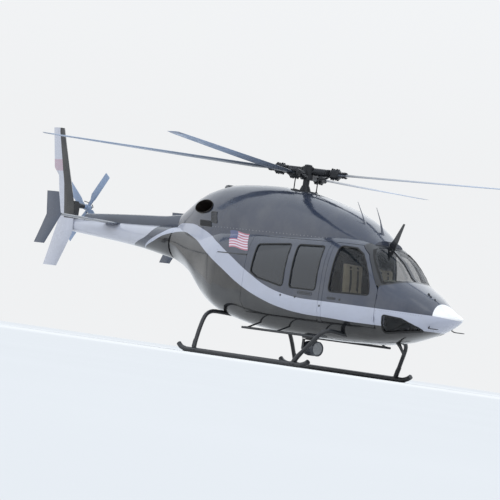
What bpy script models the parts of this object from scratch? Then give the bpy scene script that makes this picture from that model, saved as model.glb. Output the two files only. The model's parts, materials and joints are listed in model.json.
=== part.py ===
"""A light twin-engined helicopter on skids, in police colours.

Lengths are metres and +Z is up. The machine is drawn around its mast: forward is +X, left is +Y
and the ground is z = 0. Everything hangs on one empty that sets the mast where the middle of the
whole outline, rotor included, comes out at x = 0.
"""

from bisect import bisect_right
from math import atan2, cos, pi, radians, sin, sqrt, tan

import bmesh
import bpy
from mathutils import Matrix, Vector

# Main sizes of the machine
ROTOR_RADIUS = 5.486
TAIL_ROTOR_RADIUS = 0.825
HUB_Z = 3.49
MAST_X = 1.1624
SKID_HALF_TRACK = 1.25
WALL = 0.045
GAP = 0.0003
DOOR_GAP = 0.0065

# Body lines, each a list of (x, value) points read along the machine from the mast
TOP_LINE = [(-3.60, 2.26), (-3.24, 2.31), (-2.40, 2.36), (-1.30, 2.42), (0.40, 2.47), (1.60, 2.48),
            (2.20, 2.413), (2.51, 2.285), (2.79, 2.135), (2.94, 2.01), (3.18, 1.787), (3.40, 1.695),
            (3.80, 1.519), (4.11, 1.345), (4.33, 1.262), (4.42, 1.205)]
BOTTOM_LINE = [(-3.60, 1.72), (-3.24, 1.655), (-2.60, 1.37), (-2.00, 0.955), (-1.50, 0.80),
               (-1.00, 0.71), (-0.40, 0.62), (0.30, 0.58), (1.50, 0.57), (2.40, 0.60), (2.99, 0.67),
               (3.45, 0.78), (3.92, 0.92), (4.25, 1.08), (4.42, 1.205)]
SIDE_LINE = [(-3.60, 0.265), (-3.24, 0.30), (-2.60, 0.453), (-2.00, 0.605), (-1.30, 0.765),
             (-0.50, 0.815), (0.50, 0.825), (1.60, 0.81), (2.30, 0.775), (2.94, 0.672), (3.45, 0.555),
             (3.92, 0.378), (4.20, 0.25), (4.36, 0.125), (4.42, 0.010)]
WIDEST_LINE = [(-3.60, 1.99), (-3.24, 1.98), (-2.60, 1.76), (-2.00, 1.52), (-1.30, 1.33),
               (-0.50, 1.25), (2.00, 1.22), (3.40, 1.20), (4.42, 1.21)]
UPPER_POWER = [(-3.60, 2.0), (-2.60, 2.4), (-1.30, 3.4), (2.00, 3.4), (2.90, 3.0), (3.25, 2.7),
               (3.60, 2.6), (4.00, 1.9), (4.42, 2.0)]
LOWER_POWER = [(-3.60, 2.0), (-2.60, 1.5), (-2.00, 1.8), (-1.00, 2.7), (2.40, 2.7), (3.60, 2.2), (4.42, 2.0)]

# Where the body is split into panels
FLOOR_Z = 0.86
REAR_WALL_X = -1.30
BOOM_JOINT_X = -3.24
FRONT_POST_X = 2.96
NOSE_JOINT_X = 3.93
NOSE_TIP_X = 4.42
ROOF_SEAM_Z = 2.335
WINDSHIELD_BASE = [(FRONT_POST_X, 1.600), (3.10, 1.642), (3.20, 1.684), (3.30, 1.738), (NOSE_JOINT_X, 2.05)]
CENTRE_POST_HALF = 0.032

# Doors and windows in side view, as (x, z) corners
CREW_DOOR = [(1.735, 0.868), (2.952, 0.868), (2.952, 1.52), (2.68, 1.92), (2.52, 2.12), (2.30, 2.275),
             (1.735, 2.275)]
CREW_WINDOW = [(1.855, 1.395), (2.80, 1.415), (2.76, 1.60), (2.68, 1.79), (2.57, 1.96), (2.43, 2.12),
               (2.25, 2.215), (1.88, 2.225)]
SLIDING_DOOR = [(-0.30, 0.868), (1.640, 0.868), (1.640, 2.275), (-0.42, 2.245), (-0.42, 1.05)]
REAR_WINDOW = [(-0.245, 1.585), (-0.06, 1.50), (0.67, 1.385), (0.67, 2.165), (-0.215, 2.095)]
FRONT_WINDOW = [(0.845, 1.385), (1.525, 1.385), (1.525, 2.185), (0.845, 2.165)]
CHIN_WINDOW = [(3.08, 0.80), (3.84, 0.93), (3.66, 1.02), (3.50, 1.085), (3.14, 1.11)]
WINDSHIELD_GLASS = [(3.00, 1.650), (3.10, 1.684), (3.20, 1.728), (3.30, 1.785), (4.00, 2.14), (4.00, 2.50),
                    (2.40, 2.50), (2.455, 2.30), (2.505, 2.225), (2.71, 2.005), (2.94, 1.73)]
WIRE_BLADE = [(2.42, 2.29), (2.54, 2.22), (2.60, 2.40), (2.715, 2.745), (2.685, 2.750), (2.50, 2.46),
              (2.42, 2.37)]
CHIN_INNER_Y = 0.16
LEFT_HALF = (0.30, 1.2)
HINGE_Z = 1.20
KNUCKLES = [(0.98, 1.07), (1.36, 1.45)]
KNUCKLE_RADIUS = 0.014
RUNNERS = [(0.00, 0.05), (1.20, 1.25)]
GLASS = 0.007
GLASS_DEPTH = 0.012

# Cowling over the engines and gearbox
COWL_TOP = [(-3.24, 2.53), (-2.93, 2.71), (-2.50, 2.955), (-2.05, 3.10), (-1.60, 3.18), (-0.68, 3.215),
            (0.00, 3.185), (0.41, 3.13), (0.97, 3.01), (1.46, 2.88), (1.85, 2.73), (2.15, 2.565),
            (2.42, 2.40)]
COWL_SIDE = [(-3.24, 0.14), (-2.93, 0.27), (-2.40, 0.45), (-1.80, 0.57), (-1.00, 0.63), (0.50, 0.64),
             (1.30, 0.60), (1.90, 0.50), (2.42, 0.34)]
COWL_BASE = 2.26
COWL_POWER = 2.5
COWL_WALL = 0.022
COWL_SPLITS = [-3.22, -0.86, 0.62, 2.40]
COWL_HOLLOW = (-2.85, 2.05)
MAST_HOLE_RADIUS = 0.265
WHIPS = [((1.96, -0.20, 2.60), (1.83, -0.20, 2.81), (1.65, -0.20, 3.05)),
         ((2.205, 0.0, 2.51), (2.09, 0.0, 2.75), (1.94, 0.0, 2.99))]
WHIP_RADII = [0.030, 0.010, 0.004]

# Under the cowling: the left exhaust's oval from the engine to its open end, and the heavy blocks
EXHAUST_FROM = (-2.14, 0.20, 2.60)
EXHAUST_TO = (-2.20, 0.455, 2.70)
EXHAUST_HALF = (0.33, 0.14)
EXHAUST_WALL = 0.010
EXHAUST_SEAT = 0.0006
BLOCK_BEVEL = 0.03
GEARBOX_BLOCK = ((-0.33, -0.30, 2.30), (0.36, 0.30, 2.985))
ENGINE_BLOCK = ((-1.72, 0.07, 2.30), (-0.72, 0.45, 2.88))
BEACON_X, BEACON_TOP, BEACON_RADIUS = -2.055, 3.158, 0.105

# Tail
BOOM_CENTRE = [(-6.84, 2.13), (-4.50, 2.055), (-3.24, 1.985)]
BOOM_RADIUS = [(-6.84, 0.120), (-6.00, 0.150), (-4.50, 0.215), (-3.24, 0.318)]
BOOM_END_X = -6.84
COVER_TOP = [(-6.15, 2.37), (-5.36, 2.41), (-4.55, 2.445), (-3.75, 2.475), (-3.26, 2.535)]
FIN_Y = -0.150
FIN_THICK = 0.105
FINLET_THICK = 0.041
FIN_LEVELS = [(1.285, -6.73, -7.14), (1.61, -6.55, -7.035), (1.93, -6.385, -6.94), (2.10, -6.375, -6.885),
              (2.30, -6.40, -6.85), (2.50, -6.43, -6.89), (3.05, -6.675, -7.04), (3.20, -6.74, -7.21),
              (3.98, -7.085, -7.41)]
STABILISER_Z = 2.225
STABILISER_X = (-4.98, -5.43)
STABILISER_HALF = 1.545
FINLET_LEVELS = [(1.64, -5.37, -5.69), (1.93, -5.165, -5.545), (2.20, -4.98, -5.42), (2.64, -5.14, -5.50)]
TAIL_HUB = (-6.66, 0.35, 2.51)

# Landing gear: the right half of each tube, as (x, y, z) points from the skid up and inwards
SKID_RADIUS = 0.045
CROSS_RADIUS = 0.038
SKID_LINE = [(-1.40, 0.130), (-1.33, 0.080), (-1.22, 0.052), (-1.08, 0.045), (0.40, 0.045),
             (1.82, 0.045), (1.94, 0.055), (2.04, 0.082), (2.11, 0.125)]
FRONT_LEG = [(1.716, -1.25, 0.082), (1.80, -1.215, 0.21), (1.93, -1.145, 0.39), (2.06, -1.075, 0.58),
             (2.115, -1.01, 0.668), (2.14, -0.92, 0.705), (2.15, -0.78, 0.708), (2.15, -0.40, 0.68),
             (2.15, 0.0, 0.665)]
REAR_LEG = [(-0.976, -1.25, 0.082), (-0.995, -1.215, 0.19), (-1.02, -1.15, 0.40), (-1.045, -1.07, 0.60),
            (-1.065, -0.99, 0.715), (-1.085, -0.88, 0.775), (-1.10, -0.74, 0.795), (-1.10, -0.40, 0.79),
            (-1.10, 0.0, 0.785)]
STEP_Y = 0.905
STEP_Z = 0.575
STEP_X = (-0.14, 1.84)
STEP_BRACKETS = [-0.02, 0.78, 1.74]

# Rotors
REST_HEADING = 23.9
MAST_FOOT_Z = 2.985
MAST_RADIUS = 0.060
MAST_TOP = 0.135
SWASHPLATE = (3.115, 3.165, 0.240)
SWASHPLATE_NECK = (3.155, 3.265, 0.115, 0.070)
LINK_RADIUS, LINK_CIRCLE, LINK_HEADING = 0.011, 0.205, 22
LINK_FOOT_Z, LINK_TOP = 3.15, -0.075
YOKE_STEP = 0.040
YOKE_HALF = (0.062, 0.028)
HUB_REACH = 0.590
HUB_BODY = (0.118, 0.115)
GRIP_BACK, GRIP_AHEAD, GRIP_HALF = 0.13, 0.05, (0.090, 0.086)
DAMPER = (0.14, 0.36, 0.071)
BLADE_START_GAP = 0.0013
BLADE_RADII = [0.72, 0.86, 1.02, 1.20, 2.6, 4.0, 5.10, 5.30, 5.42]
PRECONE = 1.7
BLADE_CHORD = [(0.60, 0.160), (0.72, 0.165), (1.20, 0.285), (5.15, 0.285), (5.486, 0.235)]
BLADE_THICK = [(0.60, 0.064), (0.72, 0.050), (1.20, 0.034), (5.486, 0.018)]
BLADE_TWIST = [(0.60, 9.0), (1.20, 9.0), (5.486, 1.0)]
TAIL_BLADE_RADII = [0.0, 0.16, 0.26, 0.60]
TAIL_BLADE_CHORD = [(0.0, 0.075), (0.16, 0.085), (0.26, 0.16), (0.825, 0.15)]
TAIL_BLADE_THICK = [(0.0, 0.040), (0.16, 0.030), (0.825, 0.014)]
TAIL_BLADE_TWIST = [(0.0, 0.0), (0.16, 5.0), (0.825, 5.0)]
TAIL_BLADE_SET_BACK = 0.02
TAIL_PAIR_STEP = 0.040
TAIL_HEADINGS = (38.0, 128.0)
TAIL_HUB_RADIUS, TAIL_HUB_HALF = 0.050, 0.085

# Searchlight under the belly
LIGHT_X = 0.70
LIGHT_TRUNNION_Z = 0.375
LIGHT_RADIUS = 0.130
LIGHT_LENGTH = 0.245
LIGHT_RIM = (0.205, 0.004)
LIGHT_GLASS_SET_BACK = 0.020
LIGHT_HEADROOM = 0.012
DISC_THICK, DISC_RADIUS = 0.022, 0.085
MOUNT_HALF = (0.115, 0.095)
YOKE_CLEAR, YOKE_PLATE = 0.008, 0.018
PIN_RADIUS = 0.012

# Seats in side view, as (distance behind the front edge, height); the back's top rises with its height
SEAT_FOOT = [(0.06, 0.8603), (0.40, 0.8603), (0.44, 1.08), (0.52, 1.10)]
SEAT_BACK = [(0.60, 1.16), (0.53, 1.19), (0.48, 1.17)]
SEAT_PAN = [(0.43, 1.32), (0.38, 1.235), (0.03, 1.26), (0.0, 1.22), (0.02, 1.12), (0.06, 1.10)]
CONSOLE = [(3.08, 1.24), (3.33, 1.30), (3.33, 1.50), (3.10, 1.565), (2.98, 1.545), (3.02, 1.24)]
CONSOLE_HALF = 0.42
PEDESTAL = [(2.46, 0.8603), (2.90, 0.8603), (3.20, 1.05), (3.20, 1.30), (3.00, 1.34), (2.50, 1.10)]
PEDESTAL_HALF = 0.105

RING = 32
BODY_STEPS = 28


def along(points, x):
    """Value at x on a smooth curve through (x, value) points that never overshoots them."""
    xs = [p[0] for p in points]
    ys = [p[1] for p in points]
    if x <= xs[0]:
        return ys[0]
    if x >= xs[-1]:
        return ys[-1]
    slopes = [(ys[i + 1] - ys[i]) / (xs[i + 1] - xs[i]) for i in range(len(xs) - 1)]

    def tangent(i):
        if i == 0:
            return slopes[0]
        if i == len(xs) - 1:
            return slopes[-1]
        before, after = slopes[i - 1], slopes[i]
        if before * after <= 0:
            return 0.0
        return 2 * before * after / (before + after)

    i = bisect_right(xs, x) - 1
    span = xs[i + 1] - xs[i]
    t = (x - xs[i]) / span
    start, end = tangent(i) * span, tangent(i + 1) * span
    return (ys[i] * (2 * t**3 - 3 * t**2 + 1) + start * (t**3 - 2 * t**2 + t)
            + ys[i + 1] * (3 * t**2 - 2 * t**3) + end * (t**3 - t**2))


def power(value, exponent):
    """Power that keeps the sign of its base."""
    return (1 if value >= 0 else -1) * abs(value) ** exponent


def body_ring(x, depth=0.0):
    """One cross-section of the cabin body, pulled in by depth."""
    top = along(TOP_LINE, x) - depth
    bottom = along(BOTTOM_LINE, x) + depth
    side = max(along(SIDE_LINE, x) - depth, 0.004)
    widest = along(WIDEST_LINE, x)
    upper, lower = along(UPPER_POWER, x), along(LOWER_POWER, x)
    ring = []
    for j in range(RING):
        turn = 2 * pi * j / RING
        exponent = 2 / (upper if sin(turn) >= 0 else lower)
        reach = (top - widest) if sin(turn) >= 0 else (widest - bottom)
        ring.append((x, side * power(cos(turn), exponent), widest + reach * power(sin(turn), exponent)))
    return ring


def cowl_ring(x, depth=0.0):
    """One cross-section of the cowling, flat below, pulled in by depth."""
    side = max(along(COWL_SIDE, x) - depth, 0.02)
    rise = max(along(COWL_TOP, x) - depth - COWL_BASE, 0.02)
    ring = [(x, side, COWL_BASE - 0.25), (x, side, COWL_BASE)]
    steps = 14
    for j in range(1, steps):
        turn = pi * j / steps
        ring.append((x, side * power(cos(turn), 2 / COWL_POWER),
                     COWL_BASE + rise * power(sin(turn), 2 / COWL_POWER)))
    return ring + [(x, -side, COWL_BASE), (x, -side, COWL_BASE - 0.25)]


def spaced(start, end, steps):
    """Evenly spaced values from start to end."""
    return [start + (end - start) * i / steps for i in range(steps + 1)]


def material(name, colour, roughness, metallic=0.0):
    """A plain painted, metal or glass finish, made once."""
    found = bpy.data.materials.get(name)
    if found:
        return found
    made = bpy.data.materials.new(name)
    made.use_nodes = True
    shader = made.node_tree.nodes["Principled BSDF"]
    shader.inputs["Base Color"].default_value = (*colour, 1.0)
    shader.inputs["Roughness"].default_value = roughness
    shader.inputs["Metallic"].default_value = metallic
    return made


FINISHES = {
    "slate_paint": ((0.055, 0.072, 0.105), 0.25, 0.0),
    "dark_paint": ((0.016, 0.018, 0.024), 0.25, 0.0),
    "white_paint": ((0.80, 0.80, 0.80), 0.3, 0.0),
    "boom_paint": ((0.30, 0.32, 0.37), 0.35, 0.0),
    "black_metal": ((0.020, 0.020, 0.022), 0.5, 0.3),
    "rotor_grey": ((0.22, 0.28, 0.38), 0.45, 0.1),
    "bare_metal": ((0.35, 0.35, 0.36), 0.35, 0.9),
    "burnt_metal": ((0.08, 0.075, 0.07), 0.6, 0.8),
    "clear_glass": ((0.10, 0.11, 0.12), 0.05, 0.0),
    "dark_glass": ((0.020, 0.024, 0.028), 0.08, 0.0),
    "panel_plastic": ((0.05, 0.05, 0.05), 0.7, 0.0),
    "seat_cloth": ((0.33, 0.30, 0.24), 0.9, 0.0),
}


def finish(name):
    """The named finish from the table above."""
    return material(name, *FINISHES[name])


def make(name, bm, finish_name, parent=None, location=(0, 0, 0)):
    """Turns a bmesh into a named, smooth-shaded object on its parent."""
    bmesh.ops.recalc_face_normals(bm, faces=bm.faces)
    mesh = bpy.data.meshes.new(name)
    bm.to_mesh(mesh)
    bm.free()
    obj = bpy.data.objects.new(name, mesh)
    bpy.context.scene.collection.objects.link(obj)
    obj.location = location
    obj.parent = parent
    if finish_name:
        mesh.materials.append(finish(finish_name))
    mesh.shade_smooth()
    mesh.set_sharp_from_angle(angle=radians(32))
    return obj


def loft(rings, split=False):
    """Closed solid through equal rings, with flat ends; split cuts the side faces, left like right."""
    bm = bmesh.new()
    rows = [[bm.verts.new(point) for point in ring] for ring in rings]
    count = len(rings[0])
    for low, high in zip(rows, rows[1:]):
        for j in range(count):
            k = (j + 1) % count
            quad = (low[j], low[k], high[k], high[j])
            if not split:
                bm.faces.new(quad)
            elif sum(v.co.y for v in quad) < 0:
                bm.faces.new(quad[:3])
                bm.faces.new((quad[0], quad[2], quad[3]))
            else:
                bm.faces.new((quad[0], quad[1], quad[3]))
                bm.faces.new(quad[1:])
    bm.faces.new(rows[0])
    bm.faces.new(rows[-1])
    return bm


def body_solid(depth, x_from=-3.24, x_to=NOSE_TIP_X, steps=BODY_STEPS):
    """The whole cabin body as one solid, pulled in by depth; it only serves to cut panels."""
    stations = spaced(x_from, 3.90, steps)
    stations += [4.06] if depth > GAP else [4.03, 4.16, 4.27, 4.36, x_to]
    return cutter("guide_body", loft([body_ring(x, depth) for x in stations], split=True))


def prism(outline, y_from, y_to):
    """Solid standing on a side-view outline, from one y to another."""
    return loft([[(x, y, z) for x, z in outline] for y in (y_from, y_to)])


def rounded(corners, radius, steps=3):
    """Outline with each corner replaced by an arc."""
    result = []
    count = len(corners)
    for i in range(count):
        corner = Vector(corners[i])
        before = (Vector(corners[i - 1]) - corner)
        after = (Vector(corners[(i + 1) % count]) - corner)
        opening = before.angle(after)
        trim = min(radius / tan(opening / 2), before.length * 0.45, after.length * 0.45)
        size = trim * tan(opening / 2)
        if opening > radians(172):
            result.append(tuple(corner))
            continue
        middle = corner + (before.normalized() + after.normalized()).normalized() * size / sin(opening / 2)
        start = corner + before.normalized() * trim - middle
        end = corner + after.normalized() * trim - middle
        sweep = start.angle_signed(end)
        first = atan2(start.y, start.x)
        for s in range(steps + 1):
            turn = first - sweep * s / steps
            result.append((middle.x + size * cos(turn), middle.y + size * sin(turn)))
    return result


def grown(outline, amount):
    """Outline moved outwards by amount (inwards when negative)."""
    count = len(outline)
    area = sum(outline[i][0] * outline[(i + 1) % count][1] - outline[(i + 1) % count][0] * outline[i][1]
               for i in range(count))
    turn = 1 if area > 0 else -1
    result = []
    for i in range(count):
        here = Vector(outline[i])
        before = (here - Vector(outline[i - 1])).normalized()
        after = (Vector(outline[(i + 1) % count]) - here).normalized()
        normal_a = Vector((before.y, -before.x)) * turn
        normal_b = Vector((after.y, -after.x)) * turn
        normal = (normal_a + normal_b).normalized()
        result.append(tuple(here + normal * amount / max(normal.dot(normal_a), 0.4)))
    return result


def cutter(name, bm):
    """A guide solid that cuts others and is not part of the machine."""
    obj = make(name, bm, None)
    obj.hide_render = True
    obj.display_type = "WIRE"
    return obj


def apply_boolean(obj, tool, operation="DIFFERENCE"):
    """Cuts or joins obj with tool, keeps the result as plain mesh and removes the tool."""
    step = obj.modifiers.new("cut", "BOOLEAN")
    step.operation = operation
    step.object = tool
    step.solver = "EXACT"
    bpy.context.view_layer.update()
    graph = bpy.context.evaluated_depsgraph_get()
    result = bpy.data.meshes.new_from_object(obj.evaluated_get(graph))
    obj.modifiers.clear()
    old = obj.data
    obj.data = result
    bpy.data.meshes.remove(old)
    obj.data.name = obj.name
    bpy.data.objects.remove(tool)
    tidy_mesh(obj)


def tidy_mesh(obj):
    """Merges needle vertices that a cut leaves and flattens its stray edges."""
    bm = bmesh.new()
    bm.from_mesh(obj.data)
    bmesh.ops.remove_doubles(bm, verts=bm.verts, dist=0.00005)
    bmesh.ops.dissolve_degenerate(bm, dist=0.00005, edges=bm.edges)
    loose = [v for v in bm.verts if not v.link_faces]
    bmesh.ops.delete(bm, geom=loose, context="VERTS")
    bm.to_mesh(obj.data)
    bm.free()
    obj.data.shade_smooth()
    obj.data.set_sharp_from_angle(angle=radians(32))


def frames_along(points):
    """Unit side and up vectors at each point of a path, carried without twist."""
    points = [Vector(p) for p in points]
    forward = [(points[min(i + 1, len(points) - 1)] - points[max(i - 1, 0)]).normalized()
               for i in range(len(points))]
    seed = Vector((0, 0, 1)) if abs(forward[0].z) < 0.9 else Vector((1, 0, 0))
    side = forward[0].cross(seed).normalized()
    frames = []
    for i, direction in enumerate(forward):
        if i:
            side = forward[i - 1].rotation_difference(direction) @ side
        side = (side - direction * side.dot(direction)).normalized()
        frames.append((points[i], side, direction.cross(side)))
    return frames


def tube(points, radius, sides=10):
    """Round bar along a path; radius is a number or one number for each point."""
    sizes = radius if isinstance(radius, (list, tuple)) else [radius] * len(points)
    rings = []
    for (centre, side, up), size in zip(frames_along(points), sizes):
        rings.append([tuple(centre + (side * cos(2 * pi * j / sides) + up * sin(2 * pi * j / sides)) * size)
                      for j in range(sides)])
    return loft(rings)


def smooth_path(points, steps=3):
    """Catmull-Rom curve through the points."""
    points = [Vector(p) for p in points]
    padded = [points[0] * 2 - points[1]] + points + [points[-1] * 2 - points[-2]]
    result = []
    for i in range(1, len(padded) - 2):
        a, b, c, d = padded[i - 1:i + 3]
        for s in range(steps):
            t = s / steps
            result.append(0.5 * ((2 * b) + (c - a) * t + (2 * a - 5 * b + 4 * c - d) * t**2
                                 + (3 * b - a - 3 * c + d) * t**3))
    return result + [points[-1]]


def box(low, high, bevel=0.0, segments=2):
    """Block between two corners, with rounded edges when bevel is set."""
    bm = bmesh.new()
    made = bmesh.ops.create_cube(bm, size=1.0)
    size = [high[i] - low[i] for i in range(3)]
    centre = [(high[i] + low[i]) / 2 for i in range(3)]
    bmesh.ops.scale(bm, vec=size, verts=made["verts"])
    bmesh.ops.translate(bm, vec=centre, verts=made["verts"])
    if bevel:
        bmesh.ops.bevel(bm, geom=bm.edges[:], offset=bevel, segments=segments, affect="EDGES")
    return bm


def cylinder(start, end, radius, sides=24, end_radius=None):
    """Round bar between two points, tapered when end_radius is set."""
    return tube([start, end], [radius, radius if end_radius is None else end_radius], sides)


def join(name, pieces, finish_name, parent=None):
    """Unites overlapping bmesh solids into one named object."""
    base = make(name, pieces[0], finish_name, None)
    for piece in pieces[1:]:
        apply_boolean(base, cutter("guide_join", piece), "UNION")
    base.parent = parent
    return base


def panel(name, region, finish_name, parent, outer=0.0, inner=WALL, extra_cuts=(), extra_keep=()):
    """A piece of the body's skin: what of the skin lies in a region, less the cuts."""
    piece = body_solid(outer)
    piece.name = name
    piece.hide_render = False
    piece.display_type = "TEXTURED"
    piece.data.materials.append(finish(finish_name))
    for outline, y_from, y_to in (region, *extra_keep):
        apply_boolean(piece, cutter("guide_region", prism(outline, y_from, y_to)), "INTERSECT")
    if inner is not None:
        apply_boolean(piece, body_solid(inner))
    for outline, y_from, y_to in extra_cuts:
        apply_boolean(piece, cutter("guide_cut", prism(outline, y_from, y_to)))
    piece.parent = parent
    return piece


def mirror_left():
    """Copies every left-hand piece, and the marker it hangs on, to the right-hand side."""
    flip = Matrix.Scale(-1, 4, (0, 1, 0))
    copies = {}
    for obj in [o for o in bpy.data.objects if o.name.endswith("_left")]:
        copy = obj.copy()
        copy.name = obj.name.replace("_left", "_right")
        copy.location.y = -obj.location.y
        bpy.context.scene.collection.objects.link(copy)
        if obj.data:
            copy.data = obj.data.copy()
            copy.data.transform(flip)
            copy.data.flip_normals()
        copies[obj] = copy
    for obj, copy in copies.items():
        copy.parent = copies.get(obj.parent, obj.parent)


def build_hull(root):
    """Belly tub with the cabin floor on top, solid between floor and skin."""
    x_from, x_to = REAR_WALL_X + GAP, FRONT_POST_X - GAP
    region = ([(x_from, 0.2), (x_to, 0.2), (x_to, FLOOR_Z), (x_from, FLOOR_Z)], -1.2, 1.2)
    hull = panel("lower_hull", region, "dark_paint", None, inner=None)
    for leg in (FRONT_LEG, REAR_LEG):
        apply_boolean(hull, cutter("guide_tunnel", cross_tube_solid(leg, CROSS_RADIUS + GAP)))
    hull.parent = root


def build_nose(root):
    """Hollow nose shell with the chin windows cut, and the solid nose cone ahead of it."""
    outline = [(FRONT_POST_X, 0.3), (NOSE_JOINT_X, 0.3), *WINDSHIELD_BASE[::-1]]
    chin = rounded(CHIN_WINDOW, 0.05)
    cuts = [(chin, CHIN_INNER_Y, 1.0), (chin, -1.0, -CHIN_INNER_Y)]
    shell = panel("nose_shell", (outline, -1.2, 1.2), "slate_paint", None, extra_cuts=cuts)
    for side in (-1, 1):
        for knuckle in hinge_knuckles(side, GAP):
            apply_boolean(shell, cutter("guide_pocket", knuckle))
    shell.parent = root
    tip = [(NOSE_JOINT_X + GAP, 0.3), (4.6, 0.3), (4.6, 2.0), (NOSE_JOINT_X + GAP, 2.0)]
    panel("nose_cone", (tip, -1.2, 1.2), "white_paint", root, inner=None)
    panel("chin_window_left", (grown(chin, -GAP), CHIN_INNER_Y + GAP, 1.0), "clear_glass", root,
          outer=GLASS_DEPTH, inner=GLASS_DEPTH + GLASS)


def build_roof(root):
    """Roof panel from the windshield header back to the cabin's rear wall."""
    outline = [(REAR_WALL_X + GAP, ROOF_SEAM_Z + GAP), (2.30 - GAP, ROOF_SEAM_Z + GAP),
               (2.30 - GAP, 2.7), (REAR_WALL_X + GAP, 2.7)]
    panel("cabin_roof", (outline, -1.2, 1.2), "slate_paint", root)


def build_side(root):
    """Fixed cabin side: rear quarter panel, centre post and the rail above both doors."""
    outline = [(REAR_WALL_X + GAP, FLOOR_Z + GAP), (2.30 - GAP, FLOOR_Z + GAP),
               (2.30 - GAP, ROOF_SEAM_Z), (REAR_WALL_X + GAP, ROOF_SEAM_Z)]
    crew = grown(rounded(CREW_DOOR, 0.04), DOOR_GAP)
    sliding = grown(rounded(SLIDING_DOOR, 0.05), DOOR_GAP)
    below = [(crew, *LEFT_HALF), (sliding, *LEFT_HALF)]
    below.append(([(-0.30, 0.5), (1.64, 0.5), (1.64, 1.0), (-0.30, 1.0)], *LEFT_HALF))
    below.append(([(1.74, 0.5), (3.0, 0.5), (3.0, 1.0), (1.74, 1.0)], *LEFT_HALF))
    frame = panel("side_frame_left", (outline, *LEFT_HALF), "slate_paint", None, extra_cuts=below)
    rail = [(-1.24, 1.855), (-0.40, 1.870), (-0.40, 1.893), (-1.24, 1.878)]
    apply_boolean(frame, cutter("guide_rail", prism(rail, along(SIDE_LINE, -0.9) - 0.022, 1.0)))
    frame.parent = root


def build_windshield(root):
    """Frame with both slanting posts, header and centre post, the two panes, and the wire cutter."""
    outline = [(x, z + GAP) for x, z in WINDSHIELD_BASE]
    outline += [(NOSE_JOINT_X, 2.62), (2.30, 2.62), (2.30, 2.275 + DOOR_GAP),
                (2.52 + DOOR_GAP, 2.12 + DOOR_GAP), (2.68 + DOOR_GAP, 1.92 + DOOR_GAP),
                (2.895 + DOOR_GAP, 1.60 + GAP)]
    glass = rounded(WINDSHIELD_GLASS, 0.04)
    right, left = (-1.2, -CENTRE_POST_HALF), (CENTRE_POST_HALF, 1.2)
    frame = panel("windshield_frame", (outline, -1.2, 1.2), "dark_paint", None,
                  extra_cuts=[(glass, *right), (glass, *left)])
    apply_boolean(frame, cutter("guide_blade", prism(WIRE_BLADE, -0.009, 0.009)), "UNION")
    frame.parent = root
    panel("windshield_left", (grown(glass, -GAP), CENTRE_POST_HALF + GAP, 1.2), "clear_glass", root,
          outer=GLASS_DEPTH, inner=GLASS_DEPTH + GLASS)


def build_sliding_door(root):
    """Big cabin door with its two dark windows and the runners that it hangs on."""
    windows = [rounded(REAR_WINDOW, 0.07), rounded(FRONT_WINDOW, 0.07)]
    door = panel("sliding_door_left", (rounded(SLIDING_DOOR, 0.05), *LEFT_HALF), "slate_paint", None,
                 extra_cuts=[(w, *LEFT_HALF) for w in windows])
    reach = grown(rounded(SLIDING_DOOR, 0.05), DOOR_GAP - GAP)
    for x_from, x_to in RUNNERS:
        strip = [(x_from, 2.20), (x_to, 2.20), (x_to, 2.40), (x_from, 2.40)]
        runner = panel("guide_runner", (strip, *LEFT_HALF), "slate_paint", None, outer=0.022,
                       inner=WALL - 0.003, extra_keep=[(reach, *LEFT_HALF)])
        apply_boolean(door, runner, "UNION")
    door.parent = root
    for place, window in zip(("rear", "front"), windows):
        panel(f"cabin_window_{place}_left", (grown(window, -GAP), *LEFT_HALF), "dark_glass", root,
              outer=GLASS_DEPTH, inner=GLASS_DEPTH + GLASS)


def hinge_knuckles(side, extra=0.0):
    """The crew door's hinge barrels, which stand on its hinge line; extra fattens them for cutting."""
    hinge_x = CREW_DOOR[1][0]
    y = side * along(SIDE_LINE, hinge_x)
    return [cylinder((hinge_x, y, low - extra), (hinge_x, y, high + extra), KNUCKLE_RADIUS + extra, 16)
            for low, high in KNUCKLES]


def build_crew_door(root):
    """Hinged crew door and its pane on an empty that stands on the hinge line."""
    hinge_x = CREW_DOOR[1][0]
    hinge = empty("crew_door_hinge_left", (hinge_x, along(SIDE_LINE, hinge_x), HINGE_Z), root)
    window = rounded(CREW_WINDOW, 0.08)
    door = panel("crew_door_left", (rounded(CREW_DOOR, 0.04), *LEFT_HALF), "slate_paint", None,
                 extra_cuts=[(window, *LEFT_HALF)])
    for knuckle in hinge_knuckles(1):
        apply_boolean(door, cutter("guide_knuckle", knuckle), "UNION")
    pane = panel("crew_window_left", (grown(window, -GAP), *LEFT_HALF), "clear_glass", None,
                 outer=GLASS_DEPTH, inner=GLASS_DEPTH + GLASS)
    for piece in (door, pane):
        hang(piece, hinge)


def empty(name, location, parent=None):
    """A marker that carries pieces and holds their origin."""
    marker = bpy.data.objects.new(name, None)
    bpy.context.scene.collection.objects.link(marker)
    marker.location = location
    marker.parent = parent
    return marker


def hang(piece, marker):
    """Moves a piece's origin to a marker without moving the piece, and parents it there."""
    offset = Vector(marker.location)
    piece.data.transform(Matrix.Translation(-offset))
    piece.location = (0, 0, 0)
    piece.parent = marker


def build_aft_body(root):
    """Rear of the body, closed behind the cabin, down to the boom joint."""
    x_from, x_to = BOOM_JOINT_X + GAP, REAR_WALL_X - GAP
    outline = [(x_from, 0.5), (x_to, 0.5), (x_to, 2.7), (x_from, 2.7)]
    panel("aft_fuselage", (outline, -1.2, 1.2), "slate_paint", root, inner=None)


def cowl_solid(depth, x_from, x_to, steps):
    """Cowling shape pulled in by depth, between two stations."""
    rings = [cowl_ring(x, depth) for x in spaced(x_from, x_to, steps)]
    return cutter("guide_cowl", loft(rings, split=True))


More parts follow.
